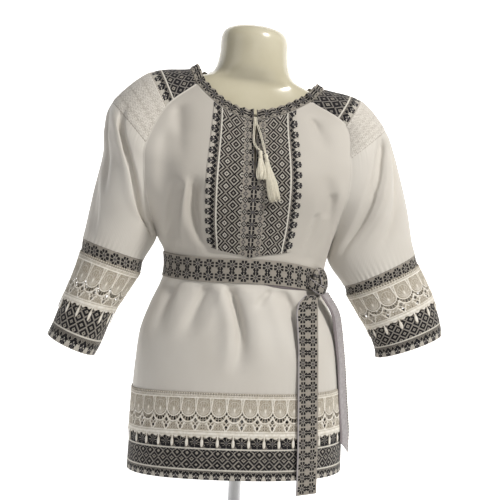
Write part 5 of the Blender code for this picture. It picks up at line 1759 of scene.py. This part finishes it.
def makeTurned(name, s, node):
    bm = bmesh.new()
    verts = [bm.verts.new((r * mm, 0, z * mm)) for r, z in s["profile"]]
    edges = [bm.edges.new(pair) for pair in zip(verts, verts[1:])]
    bmesh.ops.spin(bm, geom=verts + edges, cent=(0, 0, 0), axis=(0, 0, 1), angle=2 * math.pi,
                   steps=s["sides"], use_merge=True, use_duplicate=False)
    bmesh.ops.remove_doubles(bm, verts=bm.verts[:], dist=0.01 * mm)  # closes the middles of the ends
    bmesh.ops.recalc_face_normals(bm, faces=bm.faces[:])
    piece = finishPiece(name, bm, "steel", [node])
    bevel = piece.modifiers.new("soft edges", "BEVEL")
    bevel.width = standSettings["edge"] * mm
    bevel.segments = 3
    bevel.limit_method = "ANGLE"
    bevel.harden_normals = True
    piece.data.set_sharp_from_angle(angle=math.radians(35))


makeForm(formSettings)
makeTurned("stand_base_disc", standSettings["disc"], "stand_base")
makeTurned("stand_pole_tube", standSettings["pole"], "stand_pole")
print("form and stand made")


# room, light and finish

roomSettings = {"wide": 7.0, "near": 7.0, "far": 1.6, "bend": 0.8, "high": 3.2, "bendSteps": 60,
                "tone": "E6E5E3", "glow": (0.1, 0.9), "worldTone": "F4F4F4", "worldStrength": 0.2}
# name, place, width and height, watts, colour
lights = [
    ("key, above right", (1.25, -1.45, 2.3), (0.4, 0.4), 56, "FFFCF7"),
    ("soft left", (-2.0, -1.3, 1.2), (1.2, 1.4), 3.2, "FAF7FB"),
    ("front fill", (0.1, -2.6, 1.3), (1.0, 1.0), 1.5, "FFFFFF")]
lightTarget = (0, 0, 0.5)


def makeRoom(s):
    bm = bmesh.new()
    bmesh.ops.create_grid(bm, x_segments=1, y_segments=s["bendSteps"], size=0.5)
    path = s["near"] + s["far"] + s["bend"] * math.pi / 2 + s["high"]
    for vert in bm.verts:
        run = (vert.co.y + 0.5) * path - s["near"]
        turned = min(max((run - s["far"]) / s["bend"], 0), math.pi / 2)
        rest = max(run - s["far"] - s["bend"] * math.pi / 2, 0)
        y = min(run, s["far"]) + s["bend"] * math.sin(turned)
        z = s["bend"] * (1 - math.cos(turned)) + rest
        vert.co = Vector((vert.co.x * 2 * s["wide"], y, z))
    mesh = bpy.data.meshes.new("backdrop")
    bm.to_mesh(mesh)
    bm.free()
    mesh.shade_smooth()
    material, tree, shader, place = newFinish("matt backdrop paper", {
        "Base Color": colour(s["tone"]), "Roughness": 0.95, "Emission Color": colour("FFFFFF")})
    # it is bright behind the form only, so the front is lit by the lamps
    split = addNode(tree, "ShaderNodeSeparateXYZ", {"Vector": place.outputs["Object"]})
    glow = addNode(tree, "ShaderNodeMapRange", {
        "Value": split.outputs["Y"], 1: -0.25, 2: 0.2, 3: s["glow"][0], 4: s["glow"][1]})
    tree.links.new(glow.outputs["Result"], shader.inputs["Emission Strength"])
    mesh.materials.append(material)
    floor = bpy.data.objects.new("backdrop", mesh)
    bpy.context.scene.collection.objects.link(floor)


def addLight(name, place, size, power, tint):
    data = bpy.data.lights.new(name, "AREA")
    data.shape = "RECTANGLE"
    data.size, data.size_y = size
    data.energy = power
    data.color = colour(tint)[:3]
    lamp = bpy.data.objects.new(name, data)
    lamp.location = place
    lamp.rotation_euler = (Vector(lightTarget) - Vector(place)).to_track_quat("-Z", "Y").to_euler()
    bpy.context.scene.collection.objects.link(lamp)


def lightWorld(s):
    world = bpy.data.worlds.new("pale room")
    world.use_nodes = True
    background = world.node_tree.nodes["Background"]
    background.inputs["Color"].default_value = colour(s["worldTone"])
    background.inputs["Strength"].default_value = s["worldStrength"]
    bpy.context.scene.world = world


makeRoom(roomSettings)
for row in lights:
    addLight(*row)
lightWorld(roomSettings)
print("room and lights set")
bpy.context.scene.view_settings.view_transform = "Standard"
